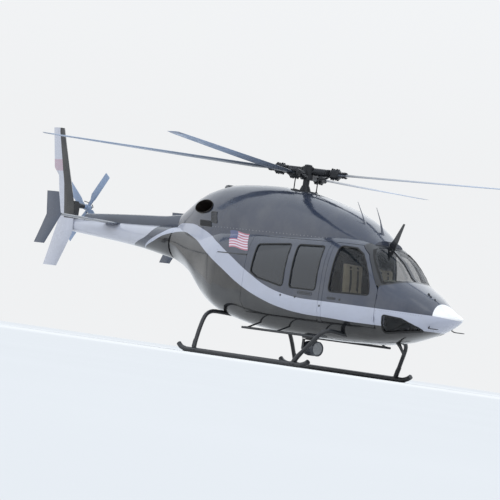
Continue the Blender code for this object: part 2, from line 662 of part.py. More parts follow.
def build_cowlings(root):
    """Three hollow cowlings that stand on the roof, with the mast hole and both exhaust holes."""
    names = ["engine_cowling", "mast_cowling", "front_fairing"]
    for name, x_from, x_to in zip(names, COWL_SPLITS, COWL_SPLITS[1:]):
        piece = cowl_solid(0.0, x_from + GAP, x_to, 8)
        piece.name = name
        piece.hide_render = False
        piece.display_type = "TEXTURED"
        piece.data.materials.append(finish("slate_paint"))
        hollow_from = max(x_from - 0.1, COWL_HOLLOW[0])
        hollow_to = min(x_to + 0.1, COWL_HOLLOW[1])
        apply_boolean(piece, cowl_solid(COWL_WALL, hollow_from, hollow_to, 8))
        apply_boolean(piece, body_solid(-GAP))
        if name == "mast_cowling":
            hole = cylinder((0, 0, 2.9), (0, 0, 3.6), MAST_HOLE_RADIUS, 32)
            apply_boolean(piece, cutter("guide_mast", hole))
        if name == "engine_cowling":
            for side in (-1, 1):
                apply_boolean(piece, cutter("guide_exhaust", exhaust_oval(side, EXHAUST_SEAT)))
        if name == "front_fairing":
            for whip in WHIPS:
                apply_boolean(piece, cutter("guide_whip", tube(whip, WHIP_RADII, 8)), "UNION")
        piece.parent = root


def exhaust_oval(side, extra=0.0, start=0.0, end=1.0):
    """Long oval that leads from the engine out through the cowling's side, nearly flush with it."""
    first = Vector((EXHAUST_FROM[0], side * EXHAUST_FROM[1], EXHAUST_FROM[2]))
    last = Vector((EXHAUST_TO[0], side * EXHAUST_TO[1], EXHAUST_TO[2]))
    axis = (last - first).normalized()
    flat = axis.cross(Vector((0, 0, 1))).normalized()
    up = flat.cross(axis)
    rings = []
    for t in (start, end):
        centre = first.lerp(last, t)
        rings.append([tuple(centre + flat * (EXHAUST_HALF[0] + extra) * cos(2 * pi * j / 32)
                            + up * (EXHAUST_HALF[1] + extra) * sin(2 * pi * j / 32)) for j in range(32)])
    return loft(rings)


def build_exhaust(root):
    """Exhaust mouth, bored out from its open end."""
    pipe = make("exhaust_left", exhaust_oval(1), "burnt_metal", None)
    apply_boolean(pipe, cutter("guide_bore", exhaust_oval(1, -EXHAUST_WALL, 0.12, 1.2)))
    pipe.parent = root


def build_engines(root):
    """The gearbox and an engine as plain blocks on the roof deck under the cowling."""
    for name, (low, high) in (("main_gearbox", GEARBOX_BLOCK), ("engine_left", ENGINE_BLOCK)):
        block = make(name, box(low, high, BLOCK_BEVEL, 1), "bare_metal", None)
        apply_boolean(block, body_solid(-GAP))
        block.parent = root


def boom_solid(extra=0.0):
    """Tapered round boom; extra fattens it for cutting what sits on it."""
    rings = []
    for x in spaced(BOOM_END_X - extra, BOOM_JOINT_X - GAP + extra, 10):
        centre, radius = along(BOOM_CENTRE, x), along(BOOM_RADIUS, x) + extra
        rings.append([(x, radius * cos(2 * pi * j / 24), centre + radius * sin(2 * pi * j / 24))
                      for j in range(24)])
    return loft(rings)


def build_boom(root):
    """Tapered boom with a slot for the stabiliser, and the shaft cover along its back."""
    boom = make("tail_boom", boom_solid(), "boom_paint", None)
    for shape in (stabiliser_solid(GAP), upright(FIN_LEVELS, FIN_Y, FIN_THICK, 2 * GAP)):
        apply_boolean(boom, cutter("guide_slot", shape))
    boom.parent = root

    rings = []
    for x in spaced(-6.15, BOOM_JOINT_X - 2 * GAP, 12):
        seat = along(BOOM_CENTRE, x) + along(BOOM_RADIUS, x) - 0.06
        rise = along(COVER_TOP, x) - seat
        half = 0.088
        rings.append([(x, half * power(cos(pi * j / 8), 0.8), seat + rise * power(sin(pi * j / 8), 0.8))
                      for j in range(9)])
    cover = make("driveshaft_cover", loft(rings), "slate_paint", None)
    for shape in (boom_solid(GAP), stabiliser_solid(GAP)):
        apply_boolean(cover, cutter("guide_seat", shape))
    cover.parent = root


def wing_ring(lead, trail, thick, steps=5):
    """Outline of an aerofoil from (along, across) points, blunt in front and thin behind."""
    chord = lead - trail
    upper = []
    for j in range(steps + 1):
        t = (1 - cos(pi * j / steps)) / 2
        y = 5 * thick * (0.2969 * sqrt(t) - 0.1260 * t - 0.3516 * t**2 + 0.2843 * t**3 - 0.1015 * t**4)
        upper.append((lead - chord * t, y))
    upper[-1] = (trail, 0.0025)
    lower = [(x, -y) for x, y in upper[:0:-1]]
    return upper + lower


def stabiliser_solid(extra=0.0):
    """The straight wing across the boom."""
    lead, trail = STABILISER_X
    outline = wing_ring(lead + extra, trail - extra, 0.055 + 2 * extra)
    half = STABILISER_HALF
    return loft([[(x, y, STABILISER_Z + t) for x, t in outline] for y in (-half, half)])


def upright(levels, y, thick, extra=0.0):
    """Vertical fin through (z, leading x, trailing x) levels; extra fattens it for cutting."""
    rings = []
    for z, lead, trail in levels:
        ring = wing_ring(lead + extra, trail - extra, thick + 2 * extra)
        rings.append([(x, y + t, z) for x, t in ring])
    return loft(rings)


def build_tail(root):
    """Stabiliser with a finlet, the vertical fin and the tail gearbox with its output shaft."""
    make("stabiliser", stabiliser_solid(), "dark_paint", root)
    finlet = upright(FINLET_LEVELS, STABILISER_HALF + FINLET_THICK / 2 + GAP, FINLET_THICK)
    make("finlet_left", finlet, "dark_paint", root)
    make("vertical_fin", upright(FIN_LEVELS, FIN_Y, FIN_THICK), "boom_paint", root)
    hub_x, hub_y, hub_z = TAIL_HUB
    pieces = [box((hub_x - 0.115, -0.085, 2.15), (hub_x + 0.115, 0.105, hub_z + 0.075), 0.03, 2),
              cylinder((hub_x, 0.0, hub_z), (hub_x, hub_y - 0.085, hub_z), 0.058, 20, 0.045)]
    gearbox = join("tail_gearbox", pieces, "black_metal")
    for shape in (boom_solid(GAP), upright(FIN_LEVELS, FIN_Y, FIN_THICK, 2 * GAP)):
        apply_boolean(gearbox, cutter("guide_seat", shape))
    gearbox.parent = root


def cross_tube_solid(leg, radius):
    """Whole cross tube from one skid over to the other."""
    right = smooth_path(leg, 2)
    left = [Vector((p.x, -p.y, p.z)) for p in reversed(right[:-1])]
    return tube(right + left, radius, 10)


def build_gear(root):
    """Skid with turned-up ends, two cross tubes standing on the skids, and a step bar."""
    for name, leg in (("front", FRONT_LEG), ("rear", REAR_LEG)):
        cross = make(f"cross_tube_{name}", cross_tube_solid(leg, CROSS_RADIUS), "black_metal", None)
        for side in (-1, 1):
            apply_boolean(cross, cutter("guide_skid", skid_solid(side, SKID_RADIUS + GAP)))
        cross.parent = root
    make("skid_left", skid_solid(1, SKID_RADIUS), "black_metal", root)
    build_step(root)


def skid_solid(side, radius):
    """One landing skid."""
    path = smooth_path([(x, side * SKID_HALF_TRACK, z) for x, z in SKID_LINE], 2)
    for point in path:
        point.z = max(point.z, SKID_RADIUS)
    return tube(path, radius, 12)


def build_step(root):
    """Boarding step bar with its brackets, which end on the hull's skin."""
    pieces = [tube([(x, STEP_Y, STEP_Z) for x in STEP_X], 0.021, 10)]
    for x in STEP_BRACKETS:
        pieces.append(tube([(x, STEP_Y, STEP_Z), (x, 0.45, STEP_Z + 0.19)], 0.016, 8))
    step = join("step_left", pieces, "black_metal")
    apply_boolean(step, body_solid(-GAP))
    step.parent = root


def blade_rings(radii, chord_line, thick_line, twist_line):
    """Aerofoil sections along a blade that points to +X, leading edge towards +Y."""
    rings = []
    for r in radii:
        chord, thick = along(chord_line, r), along(thick_line, r)
        twist = radians(along(twist_line, r))
        ring = []
        for u, t in wing_ring(0.25 * chord, -0.75 * chord, thick, 5):
            ring.append((r, u * cos(twist) - t * sin(twist), u * sin(twist) + t * cos(twist)))
        rings.append(ring)
    return rings


def build_rotor(root):
    """Mast with swashplate and links, two stacked yokes and four blades, on the mast's axis."""
    hub = empty("main_rotor", (0, 0, HUB_Z), root)
    hub.rotation_euler = (0, 0, radians(REST_HEADING))
    foot = MAST_FOOT_Z + GAP - HUB_Z
    low, high, plate_radius = SWASHPLATE
    neck_low, neck_high, neck_radius, neck_end = SWASHPLATE_NECK
    pieces = [cylinder((0, 0, foot), (0, 0, MAST_TOP), MAST_RADIUS, 24),
              cylinder((0, 0, low - HUB_Z), (0, 0, high - HUB_Z), plate_radius, 32),
              cylinder((0, 0, neck_low - HUB_Z), (0, 0, neck_high - HUB_Z), neck_radius, 24, neck_end)]
    for k in range(4):
        turn = k * pi / 2 + radians(LINK_HEADING)
        x, y = LINK_CIRCLE * cos(turn), LINK_CIRCLE * sin(turn)
        pieces.append(cylinder((x, y, LINK_FOOT_Z - HUB_Z), (x, y, LINK_TOP), LINK_RADIUS, 8))
    mast = join("rotor_mast", pieces, "black_metal")
    mast.parent = hub

    body_radius, body_half = HUB_BODY
    damper_from, damper_to, damper_radius = DAMPER
    grip_y, grip_z = GRIP_HALF
    yoke_y, yoke_z = YOKE_HALF
    pieces = [cylinder((0, 0, -body_half), (0, 0, body_half), body_radius, 24)]
    for k in range(4):
        level = YOKE_STEP if k % 2 == 0 else -YOKE_STEP
        turn = Matrix.Rotation(k * pi / 2, 4, "Z")
        shapes = [box((HUB_REACH - GRIP_BACK, -grip_y, level - grip_z),
                      (HUB_REACH + GRIP_AHEAD, grip_y, level + grip_z), 0.030, 1),
                  cylinder((damper_from, 0.0, level + 0.004), (damper_to, 0.0, level + 0.004),
                           damper_radius, 10)]
        if k < 2:
            shapes.insert(0, box((-HUB_REACH, -yoke_y, level - yoke_z), (HUB_REACH, yoke_y, level + yoke_z),
                                 0.012, 1))
        for bm in shapes:
            bmesh.ops.transform(bm, matrix=turn, verts=bm.verts)
            pieces.append(bm)
    yokes = join("rotor_hub", pieces, "black_metal")
    apply_boolean(yokes, cutter("guide_bore", cylinder((0, 0, -0.2), (0, 0, 0.2), MAST_RADIUS + GAP, 24)))
    yokes.parent = hub

    start = HUB_REACH + GRIP_AHEAD + BLADE_START_GAP
    radii = [start, *BLADE_RADII, ROTOR_RADIUS]
    for k in range(4):
        level = YOKE_STEP if k % 2 == 0 else -YOKE_STEP
        blade = make(f"main_blade_{k + 1}", loft(blade_rings(radii, BLADE_CHORD, BLADE_THICK, BLADE_TWIST)),
                     "rotor_grey", hub, (0, 0, level))
        lift = Matrix.Translation((start, 0, 0)) @ Matrix.Rotation(-radians(PRECONE), 4, "Y")
        blade.data.transform(lift @ Matrix.Translation((-start, 0, 0)))
        blade.rotation_euler = (0, 0, k * pi / 2)


def build_tail_rotor(root):
    """Two stacked pairs of blades on the gearbox's output shaft, left of the fin."""
    hub = empty("tail_rotor", TAIL_HUB, root)
    lift = Matrix.Rotation(radians(-90), 4, "X")
    for name, side, heading in (("inner", -1, TAIL_HEADINGS[0]), ("outer", 1, TAIL_HEADINGS[1])):
        core_from, core_to = (GAP - TAIL_HUB_HALF, -GAP) if name == "inner" else (0.0, TAIL_HUB_HALF)
        pieces = [cylinder((0, 0, core_from), (0, 0, core_to), TAIL_HUB_RADIUS, 20)]
        for k in range(2):
            turn = Matrix.Rotation(radians(heading) + k * pi, 4, "Z")
            blade = loft(blade_rings([*TAIL_BLADE_RADII, TAIL_ROTOR_RADIUS], TAIL_BLADE_CHORD,
                                     TAIL_BLADE_THICK, TAIL_BLADE_TWIST))
            offset = (-TAIL_BLADE_SET_BACK, 0, side * TAIL_PAIR_STEP)
            bmesh.ops.translate(blade, vec=offset, verts=blade.verts)
            bmesh.ops.transform(blade, matrix=turn, verts=blade.verts)
            pieces.append(blade)
        piece = join(f"tail_rotor_{name}", pieces, "rotor_grey")
        piece.data.transform(lift)
        piece.parent = hub


def seat_solid(y, x_front, facing=1, half=0.235, height=0.82):
    """Seat pan on a plinth with a reclined back; facing +1 looks forward, -1 looks aft."""
    def place(points):
        return [(x_front - facing * u, z) for u, z in points]
    back = [(u, z + height) for u, z in SEAT_BACK]
    profile = place(SEAT_FOOT + back + SEAT_PAN)
    seat = prism(profile, y - half, y + half)
    bmesh.ops.recalc_face_normals(seat, faces=seat.faces)
    return seat


def build_interior(root):
    """Instrument panel with its pedestal, two crew seats and two facing cabin benches."""
    console = prism(CONSOLE, -CONSOLE_HALF, CONSOLE_HALF)
    pedestal = prism(PEDESTAL, -PEDESTAL_HALF, PEDESTAL_HALF)
    join("instrument_panel", [pedestal, console], "panel_plastic", root)
    make("crew_seat_left", seat_solid(0.37, 2.46), "seat_cloth", root)
    make("cabin_bench_front", seat_solid(0.0, 1.16, facing=-1, half=0.58, height=0.62), "seat_cloth", root)
    make("cabin_bench_rear", seat_solid(0.0, -0.62, facing=1, half=0.50, height=0.62), "seat_cloth", root)


def build_searchlight(root):
    """Searchlight on a pan yoke under the belly, tilting on its trunnions."""
    disc_from = LIGHT_TRUNNION_Z + LIGHT_RADIUS + LIGHT_HEADROOM
    disc_to = disc_from + DISC_THICK
    reach_x, reach_y = MOUNT_HALF
    foot = box((LIGHT_X - reach_x, -reach_y, disc_to + GAP),
               (LIGHT_X + reach_x, reach_y, along(BOTTOM_LINE, LIGHT_X) + 0.03))
    plate = make("light_mount", foot, "black_metal", None)
    apply_boolean(plate, body_solid(-GAP))
    plate.parent = root

    pan = empty("light_pan", (LIGHT_X, 0, disc_from), root)
    arm_y = LIGHT_RADIUS + YOKE_CLEAR
    arm_end = arm_y + YOKE_PLATE
    bar = box((LIGHT_X - 0.035, -arm_end, disc_from - 0.004),
              (LIGHT_X + 0.035, arm_end, disc_from + 0.012))
    pieces = [cylinder((LIGHT_X, 0, disc_from), (LIGHT_X, 0, disc_to), DISC_RADIUS, 24), bar]
    for side in (-1, 1):
        y_from, y_to = sorted((side * arm_y, side * arm_end))
        pieces.append(box((LIGHT_X - 0.030, y_from, LIGHT_TRUNNION_Z - 0.035),
                          (LIGHT_X + 0.030, y_to, disc_from + 0.010)))
    yoke = join("light_yoke", pieces, "black_metal")
    bore = cylinder((LIGHT_X, -0.3, LIGHT_TRUNNION_Z), (LIGHT_X, 0.3, LIGHT_TRUNNION_Z),
                    PIN_RADIUS + 0.0005, 16)
    apply_boolean(yoke, cutter("guide_bore", bore))
    hang(yoke, pan)

    tilt = empty("light_tilt", (LIGHT_X, 0, LIGHT_TRUNNION_Z), root)
    pin_end = arm_end + 0.004
    pin = cylinder((LIGHT_X, -pin_end, LIGHT_TRUNNION_Z), (LIGHT_X, pin_end, LIGHT_TRUNNION_Z),
                   PIN_RADIUS, 16)
    lamp = join("searchlight", [lamp_solid(), pin], "boom_paint")
    hang(lamp, tilt)


def lamp_solid(steps=7, sides=20):
    """Lamp housing: a round back, a straight barrel and a rim that stands proud of the glass."""
    rim_x, rim_rise = LIGHT_RIM
    barrel = LIGHT_RADIUS - 0.002
    profile = []
    for i in range(steps):
        turn = pi / 2 * (1 - (i + 0.35) / steps)
        profile.append((-LIGHT_RADIUS * sin(turn), LIGHT_RADIUS * cos(turn)))
    profile += [(0.0, barrel), (rim_x - 0.005, barrel), (rim_x, LIGHT_RADIUS + rim_rise),
                (LIGHT_LENGTH, LIGHT_RADIUS + rim_rise), (LIGHT_LENGTH, LIGHT_RADIUS - 0.012),
                (LIGHT_LENGTH - LIGHT_GLASS_SET_BACK, LIGHT_RADIUS - 0.016)]
    return loft([[(LIGHT_X + u, r * cos(2 * pi * j / sides), LIGHT_TRUNNION_Z + r * sin(2 * pi * j / sides))
                  for j in range(sides)] for u, r in profile])


def build_roof_fittings(root):
    """Low beacon on the engine cowling."""
    levels = [3.00, BEACON_TOP - 0.040, BEACON_TOP - 0.012, BEACON_TOP]
    radii = [BEACON_RADIUS, BEACON_RADIUS, BEACON_RADIUS - 0.020, BEACON_RADIUS - 0.055]
    piece = make("beacon", tube([(BEACON_X, 0, z) for z in levels], radii, 20), "black_metal", None)
    apply_boolean(piece, cowl_solid(-GAP, -2.4, -1.6, 8))
    piece.parent = root


def clear_scene():
    """Removes whatever the file holds."""
    for obj in list(bpy.data.objects):
        bpy.data.objects.remove(obj)


def main():
    clear_scene()
    root = empty("mast_foot", (MAST_X, 0, 0))
    build_hull(root)
    build_nose(root)
    build_roof(root)
    build_windshield(root)
    build_side(root)
    build_sliding_door(root)
    build_crew_door(root)
    build_aft_body(root)
    build_cowlings(root)
    build_exhaust(root)
    build_engines(root)
    build_roof_fittings(root)
    build_boom(root)
    build_tail(root)
    build_gear(root)
    build_rotor(root)
    build_tail_rotor(root)
    build_interior(root)
    build_searchlight(root)
    mirror_left()


main()
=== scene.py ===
# %% [markdown]
# # A light twin-engined helicopter in police colours
# The machine's solids come ready-made, so this lesson is about its looks: paint, glass, seals,
# seats, instruments and the small fittings. Lengths are metres, forward is +X, left is +Y and up is +Z.
# The body lines below are measured from the rotor mast, which stands a little forward of the origin.

import json
from math import cos, exp, pi, radians, sin, sqrt, tan

import bmesh
import bpy
from mathutils import Matrix, Vector
from mathutils.bvhtree import BVHTree

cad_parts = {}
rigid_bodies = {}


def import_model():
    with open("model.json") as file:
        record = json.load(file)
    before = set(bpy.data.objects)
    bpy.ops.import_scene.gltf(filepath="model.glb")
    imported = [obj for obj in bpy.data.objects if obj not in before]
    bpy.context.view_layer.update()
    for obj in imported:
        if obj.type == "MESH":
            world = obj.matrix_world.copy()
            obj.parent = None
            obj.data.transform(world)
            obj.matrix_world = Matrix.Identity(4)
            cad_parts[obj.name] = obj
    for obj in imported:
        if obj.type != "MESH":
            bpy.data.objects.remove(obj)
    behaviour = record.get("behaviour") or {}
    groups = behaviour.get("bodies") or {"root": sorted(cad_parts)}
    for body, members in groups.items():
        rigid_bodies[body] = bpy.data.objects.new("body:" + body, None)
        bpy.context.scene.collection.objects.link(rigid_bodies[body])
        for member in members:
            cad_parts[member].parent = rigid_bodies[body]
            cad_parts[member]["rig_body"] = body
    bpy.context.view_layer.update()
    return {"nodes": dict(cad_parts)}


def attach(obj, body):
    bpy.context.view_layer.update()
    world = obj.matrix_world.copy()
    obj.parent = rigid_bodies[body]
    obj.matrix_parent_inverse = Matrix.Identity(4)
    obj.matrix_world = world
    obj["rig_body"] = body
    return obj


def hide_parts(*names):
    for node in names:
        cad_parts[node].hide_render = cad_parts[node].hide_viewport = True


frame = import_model()
MAST = Vector((1.1624, 0.0, 0.0))

# %% [markdown]
# ## Camera
# The photograph was taken from the ground with a long lens, from the right and ahead, and the machine
# hangs nose-down in it. A camera with the same heading, lens and roll gives the same tilt, and it
# stands at floor level because the machine is parked here.

# %% Camera
HEADING = radians(48.9)
LOOK_UP = radians(1.75)
ROLL = radians(8.25)
DISTANCE = 62.0
TARGET = Vector((0.765, -0.756, 1.969))
FOCAL_MM = 247.9


def make_camera():
    """A long lens aimed at the cabin, rolled as the photograph is."""
    back = Vector((sin(HEADING) * cos(LOOK_UP), -cos(HEADING) * cos(LOOK_UP), -sin(LOOK_UP)))
    lens = bpy.data.cameras.new("long_lens")
    lens.lens = FOCAL_MM
    lens.clip_start, lens.clip_end = 1.0, 600.0
    camera = bpy.data.objects.new("camera", lens)
    bpy.context.scene.collection.objects.link(camera)
    level = (-back).to_track_quat("-Z", "Y").to_matrix().to_4x4()
    stand = Matrix.Translation(TARGET + back * DISTANCE)
    camera.matrix_world = stand @ level @ Matrix.Rotation(ROLL, 4, "Z")
    bpy.context.scene.camera = camera
    return camera


camera = make_camera()
print("camera stands at", [round(v, 2) for v in camera.location])

# %% [markdown]
# ## Floor and light
# A bright overcast sky lights this machine from everywhere, with a brighter patch above. Here a pale
# world colour that is brighter overhead does that, and three large soft lamps give the paint its sheen.
# A wide pale floor carries the skids and throws some light back under the belly.

# %% Colour helpers
def new_material(name):
    """An empty painted finish: its material, its node tree and its shader."""
    material = bpy.data.materials.new(name)
    material.use_nodes = True
    tree = material.node_tree
    return material, tree, tree.nodes["Principled BSDF"]


def feed(tree, socket, value):
    """Sets a socket from a number or colour, or links it from another socket."""
    if isinstance(value, bpy.types.NodeSocket):
        tree.links.new(value, socket)
    else:
        socket.default_value = value


def math(tree, operation, first, second=0.0, clamp=False):
    """One sum in the node tree; returns its result socket."""
    node = tree.nodes.new("ShaderNodeMath")
    node.operation = operation
    node.use_clamp = clamp
    feed(tree, node.inputs[0], first)
    feed(tree, node.inputs[1], second)
    return node.outputs[0]


def above(tree, value, edge, soft=0.004):
    """A mask that is 1 where value is over edge, with a thin soft step."""
    step = math(tree, "SUBTRACT", value, edge)
    step = math(tree, "DIVIDE", step, soft)
    return math(tree, "ADD", step, 0.5, clamp=True)


def both(tree, *masks):
    """A mask that is 1 only where all the given masks are."""
    result = masks[0]
    for mask in masks[1:]:
        result = math(tree, "MULTIPLY", result, mask)
    return result


def between(tree, value, low, high, soft=0.004):
    """A mask that is 1 from low to high."""
    return math(tree, "SUBTRACT", above(tree, value, low, soft), above(tree, value, high, soft), clamp=True)


def blend(tree, mask, below, over):
    """Colour below where the mask is 0, and colour over where it is 1."""
    node = tree.nodes.new("ShaderNodeMix")
    node.data_type = "RGBA"
    feed(tree, node.inputs[0], mask)
    feed(tree, node.inputs[6], below)
    feed(tree, node.inputs[7], over)
    return node.outputs[2]


def place(tree):
    """Object coordinates as one vector and as separate x, y and z, measured from the mast."""
    coordinates = tree.nodes.new("ShaderNodeTexCoord").outputs["Object"]
    shift = tree.nodes.new("ShaderNodeVectorMath")
    shift.operation = "SUBTRACT"
    shift.inputs[1].default_value = MAST
    tree.links.new(coordinates, shift.inputs[0])
    split = tree.nodes.new("ShaderNodeSeparateXYZ")
    tree.links.new(shift.outputs[0], split.inputs[0])
    return coordinates, split.outputs[0], split.outputs[1], split.outputs[2]


def noise(tree, vector, scale, detail=3.0, roughness=0.5, stretch=None):
    """Soft random pattern from 0 to 1; stretch squeezes it along the axes."""
    if stretch:
        mapping = tree.nodes.new("ShaderNodeMapping")
        mapping.inputs["Scale"].default_value = stretch
        tree.links.new(vector, mapping.inputs["Vector"])
        vector = mapping.outputs[0]
    node = tree.nodes.new("ShaderNodeTexNoise")
    node.inputs["Scale"].default_value = scale
    node.inputs["Detail"].default_value = detail
    node.inputs["Roughness"].default_value = roughness
    tree.links.new(vector, node.inputs["Vector"])
    return node.outputs["Fac"]


def spread(tree, value, low, high):
    """Maps 0 to 1 onto low to high."""
    node = tree.nodes.new("ShaderNodeMapRange")
    node.inputs["To Min"].default_value = low
    node.inputs["To Max"].default_value = high
    tree.links.new(value, node.inputs["Value"])
    return node.outputs[0]


def relief(tree, shader, height, depth, strength=1.0):
    """Bumps the surface by depth metres where height is 1."""
    node = tree.nodes.new("ShaderNodeBump")
    node.inputs["Distance"].default_value = depth
    node.inputs["Strength"].default_value = strength
    tree.links.new(height, node.inputs["Height"])
    tree.links.new(node.outputs[0], shader.inputs["Normal"])
    return node


def rgb(red, green, blue):
    """An sRGB colour from 0 to 255 as the linear colour that shaders want."""
    def linear(value):
        value = value / 255
        return value / 12.92 if value <= 0.04045 else ((value + 0.055) / 1.055) ** 2.4
    return (linear(red), linear(green), linear(blue), 1.0)


print("colour helpers ready; mid grey is", round(rgb(128, 128, 128)[0], 3))

# %% Floor, sky and lamps
FLOOR_RADIUS = 420.0


def make_floor():
    """A wide round pale floor at the skids' level."""
    bm = bmesh.new()
    bmesh.ops.create_circle(bm, cap_ends=True, segments=96, radius=FLOOR_RADIUS)
    mesh = bpy.data.meshes.new("floor")
    bm.to_mesh(mesh)
    bm.free()
    floor = bpy.data.objects.new("floor", mesh)
    bpy.context.scene.collection.objects.link(floor)
    material, tree, shader = new_material("pale_floor")
    coordinates = tree.nodes.new("ShaderNodeTexCoord").outputs["Object"]
    tint = blend(tree, noise(tree, coordinates, 0.6), (0.74, 0.74, 0.735, 1), (0.77, 0.77, 0.765, 1))
    tree.links.new(tint, shader.inputs["Base Color"])
    shader.inputs["Roughness"].default_value = 0.9
    shader.inputs["Specular IOR Level"].default_value = 0.0
    mesh.materials.append(material)
    return floor


def make_sky():
    """Pale at the horizon and a little brighter and bluer overhead."""
    world = bpy.data.worlds.new("overcast")
    world.use_nodes = True
    tree = world.node_tree
    background = tree.nodes["Background"]
    direction = tree.nodes.new("ShaderNodeTexCoord").outputs["Generated"]
    split = tree.nodes.new("ShaderNodeSeparateXYZ")
    tree.links.new(direction, split.inputs[0])
    ramp = tree.nodes.new("ShaderNodeValToRGB")
    ramp.color_ramp.elements[0].position = 0.06
    ramp.color_ramp.elements[0].color = (0.87, 0.88, 0.89, 1)
    ramp.color_ramp.elements[1].position = 0.75
    ramp.color_ramp.elements[1].color = (1.12, 1.20, 1.30, 1)
    tree.links.new(split.outputs[2], ramp.inputs[0])
    tree.links.new(ramp.outputs[0], background.inputs["Color"])
    bpy.context.scene.world = world
    return world


def soft_lamp(name, spot, aim, size, watts, colour):
    """A large square lamp that looks at a point."""
    light = bpy.data.lights.new(name, "AREA")
    light.size = size
    light.energy = watts
    light.color = colour
    lamp = bpy.data.objects.new(name, light)
    lamp.location = spot
    lamp.rotation_mode = "QUATERNION"
    lamp.rotation_quaternion = (Vector(aim) - Vector(spot)).to_track_quat("-Z", "Y")
    bpy.context.scene.collection.objects.link(lamp)
    return lamp


make_floor()
make_sky()
soft_lamp("key_above_nose", (14, -9, 16), (0, 0, 2), 22.0, 700, (1.0, 0.98, 0.95))
soft_lamp("fill_right", (-8, -18, 7), (-1, 0, 2), 20.0, 300, (0.92, 0.96, 1.0))
soft_lamp("rim_left", (-6, 16, 12), (0, 0, 2), 20.0, 350, (0.95, 0.97, 1.0))
bpy.context.scene.view_settings.view_transform = "Standard"

# %% [markdown]
# ## The body's lines
# A helicopter cabin is moulded to smooth lines: a top line, a belly line and a plan line. The solids
# follow them in small flat facets. The same lines are written here once more, because from them comes
# the exact direction in which the skin faces at any point, and gloss paint shows every facet otherwise.

# %% Body lines
TOP_LINE = [(-3.60, 2.26), (-3.24, 2.31), (-2.40, 2.36), (-1.30, 2.42), (0.40, 2.47), (1.60, 2.48),
            (2.20, 2.413), (2.51, 2.285), (2.79, 2.135), (2.94, 2.01), (3.18, 1.787), (3.40, 1.695),
            (3.80, 1.519), (4.11, 1.345), (4.33, 1.262), (4.42, 1.205)]
BOTTOM_LINE = [(-3.60, 1.72), (-3.24, 1.655), (-2.60, 1.37), (-2.00, 0.955), (-1.50, 0.80),
               (-1.00, 0.71), (-0.40, 0.62), (0.30, 0.58), (1.50, 0.57), (2.40, 0.60), (2.99, 0.67),
               (3.45, 0.78), (3.92, 0.92), (4.25, 1.08), (4.42, 1.205)]
SIDE_LINE = [(-3.60, 0.265), (-3.24, 0.30), (-2.60, 0.453), (-2.00, 0.605), (-1.30, 0.765),
             (-0.50, 0.815), (0.50, 0.825), (1.60, 0.81), (2.30, 0.775), (2.94, 0.672), (3.45, 0.555),
             (3.92, 0.378), (4.20, 0.25), (4.36, 0.125), (4.42, 0.010)]
WIDEST_LINE = [(-3.60, 1.99), (-3.24, 1.98), (-2.60, 1.76), (-2.00, 1.52), (-1.30, 1.33),
               (-0.50, 1.25), (2.00, 1.22), (3.40, 1.20), (4.42, 1.21)]
UPPER_POWER = [(-3.60, 2.0), (-2.60, 2.4), (-1.30, 3.4), (2.00, 3.4), (2.90, 3.0), (3.25, 2.7),
               (3.60, 2.6), (4.00, 1.9), (4.42, 2.0)]
LOWER_POWER = [(-3.60, 2.0), (-2.60, 1.5), (-2.00, 1.8), (-1.00, 2.7), (2.40, 2.7), (3.60, 2.2), (4.42, 2.0)]
COWL_TOP = [(-3.24, 2.53), (-2.93, 2.71), (-2.50, 2.955), (-2.05, 3.10), (-1.60, 3.18), (-0.68, 3.215),
            (0.00, 3.185), (0.41, 3.13), (0.97, 3.01), (1.46, 2.88), (1.85, 2.73), (2.15, 2.565),
            (2.42, 2.40)]
COWL_SIDE = [(-3.24, 0.14), (-2.93, 0.27), (-2.40, 0.45), (-1.80, 0.57), (-1.00, 0.63), (0.50, 0.64),
             (1.30, 0.60), (1.90, 0.50), (2.42, 0.34)]
COWL_BASE = 2.26
COWL_POWER = 2.5
BOOM_CENTRE = [(-6.84, 2.13), (-4.50, 2.055), (-3.24, 1.985)]
BOOM_RADIUS = [(-6.84, 0.120), (-6.00, 0.150), (-4.50, 0.215), (-3.24, 0.318)]


def along(points, x):
    """Value at x on a smooth curve through (x, value) points that never overshoots them."""
    if x <= points[0][0]:
        return points[0][1]
    if x >= points[-1][0]:
        return points[-1][1]
    slopes = [(b[1] - a[1]) / (b[0] - a[0]) for a, b in zip(points, points[1:])]

    def tangent(i):
        before = slopes[max(i - 1, 0)]
        after = slopes[min(i, len(slopes) - 1)]
        if before * after <= 0:
            return 0.0
        return 2 * before * after / (before + after)

    i = max(k for k in range(len(points) - 1) if points[k][0] <= x)
    (x_low, low), (x_high, high) = points[i], points[i + 1]
    span = x_high - x_low
    t = (x - x_low) / span
    return (low * (2 * t**3 - 3 * t**2 + 1) + tangent(i) * span * (t**3 - 2 * t**2 + t)
            + high * (3 * t**2 - 2 * t**3) + tangent(i + 1) * span * (t**3 - t**2))


print("cabin is", round(2 * along(SIDE_LINE, 0.5), 3), "wide and",
      round(along(TOP_LINE, 0.5) - along(BOTTOM_LINE, 0.5), 3), "deep")

# %% [markdown]
# ## How the skin faces
# Each shape is written as a sum that is 1 on the skin, less inside and more outside. The direction in
# which that sum grows fastest is the skin's outward direction. A table of sums along the machine keeps
# this quick, since the curves are worked out once for each station.

# %% Skin directions
STATION_STEP = 0.01
stations = {}


def station(kind, x):
    """The curve values of a shape at a place along the machine, kept for reuse."""
    key = (kind, round(x / STATION_STEP))
    if key not in stations:
        at = key[1] * STATION_STEP
        if kind == "body":
            stations[key] = [along(line, at) for line in (TOP_LINE, BOTTOM_LINE, SIDE_LINE, WIDEST_LINE,
                                                          UPPER_POWER, LOWER_POWER)]
        elif kind == "cowl":
            stations[key] = [along(COWL_TOP, at), along(COWL_SIDE, at)]
        else:
            stations[key] = [along(BOOM_CENTRE, at), along(BOOM_RADIUS, at)]
    return stations[key]


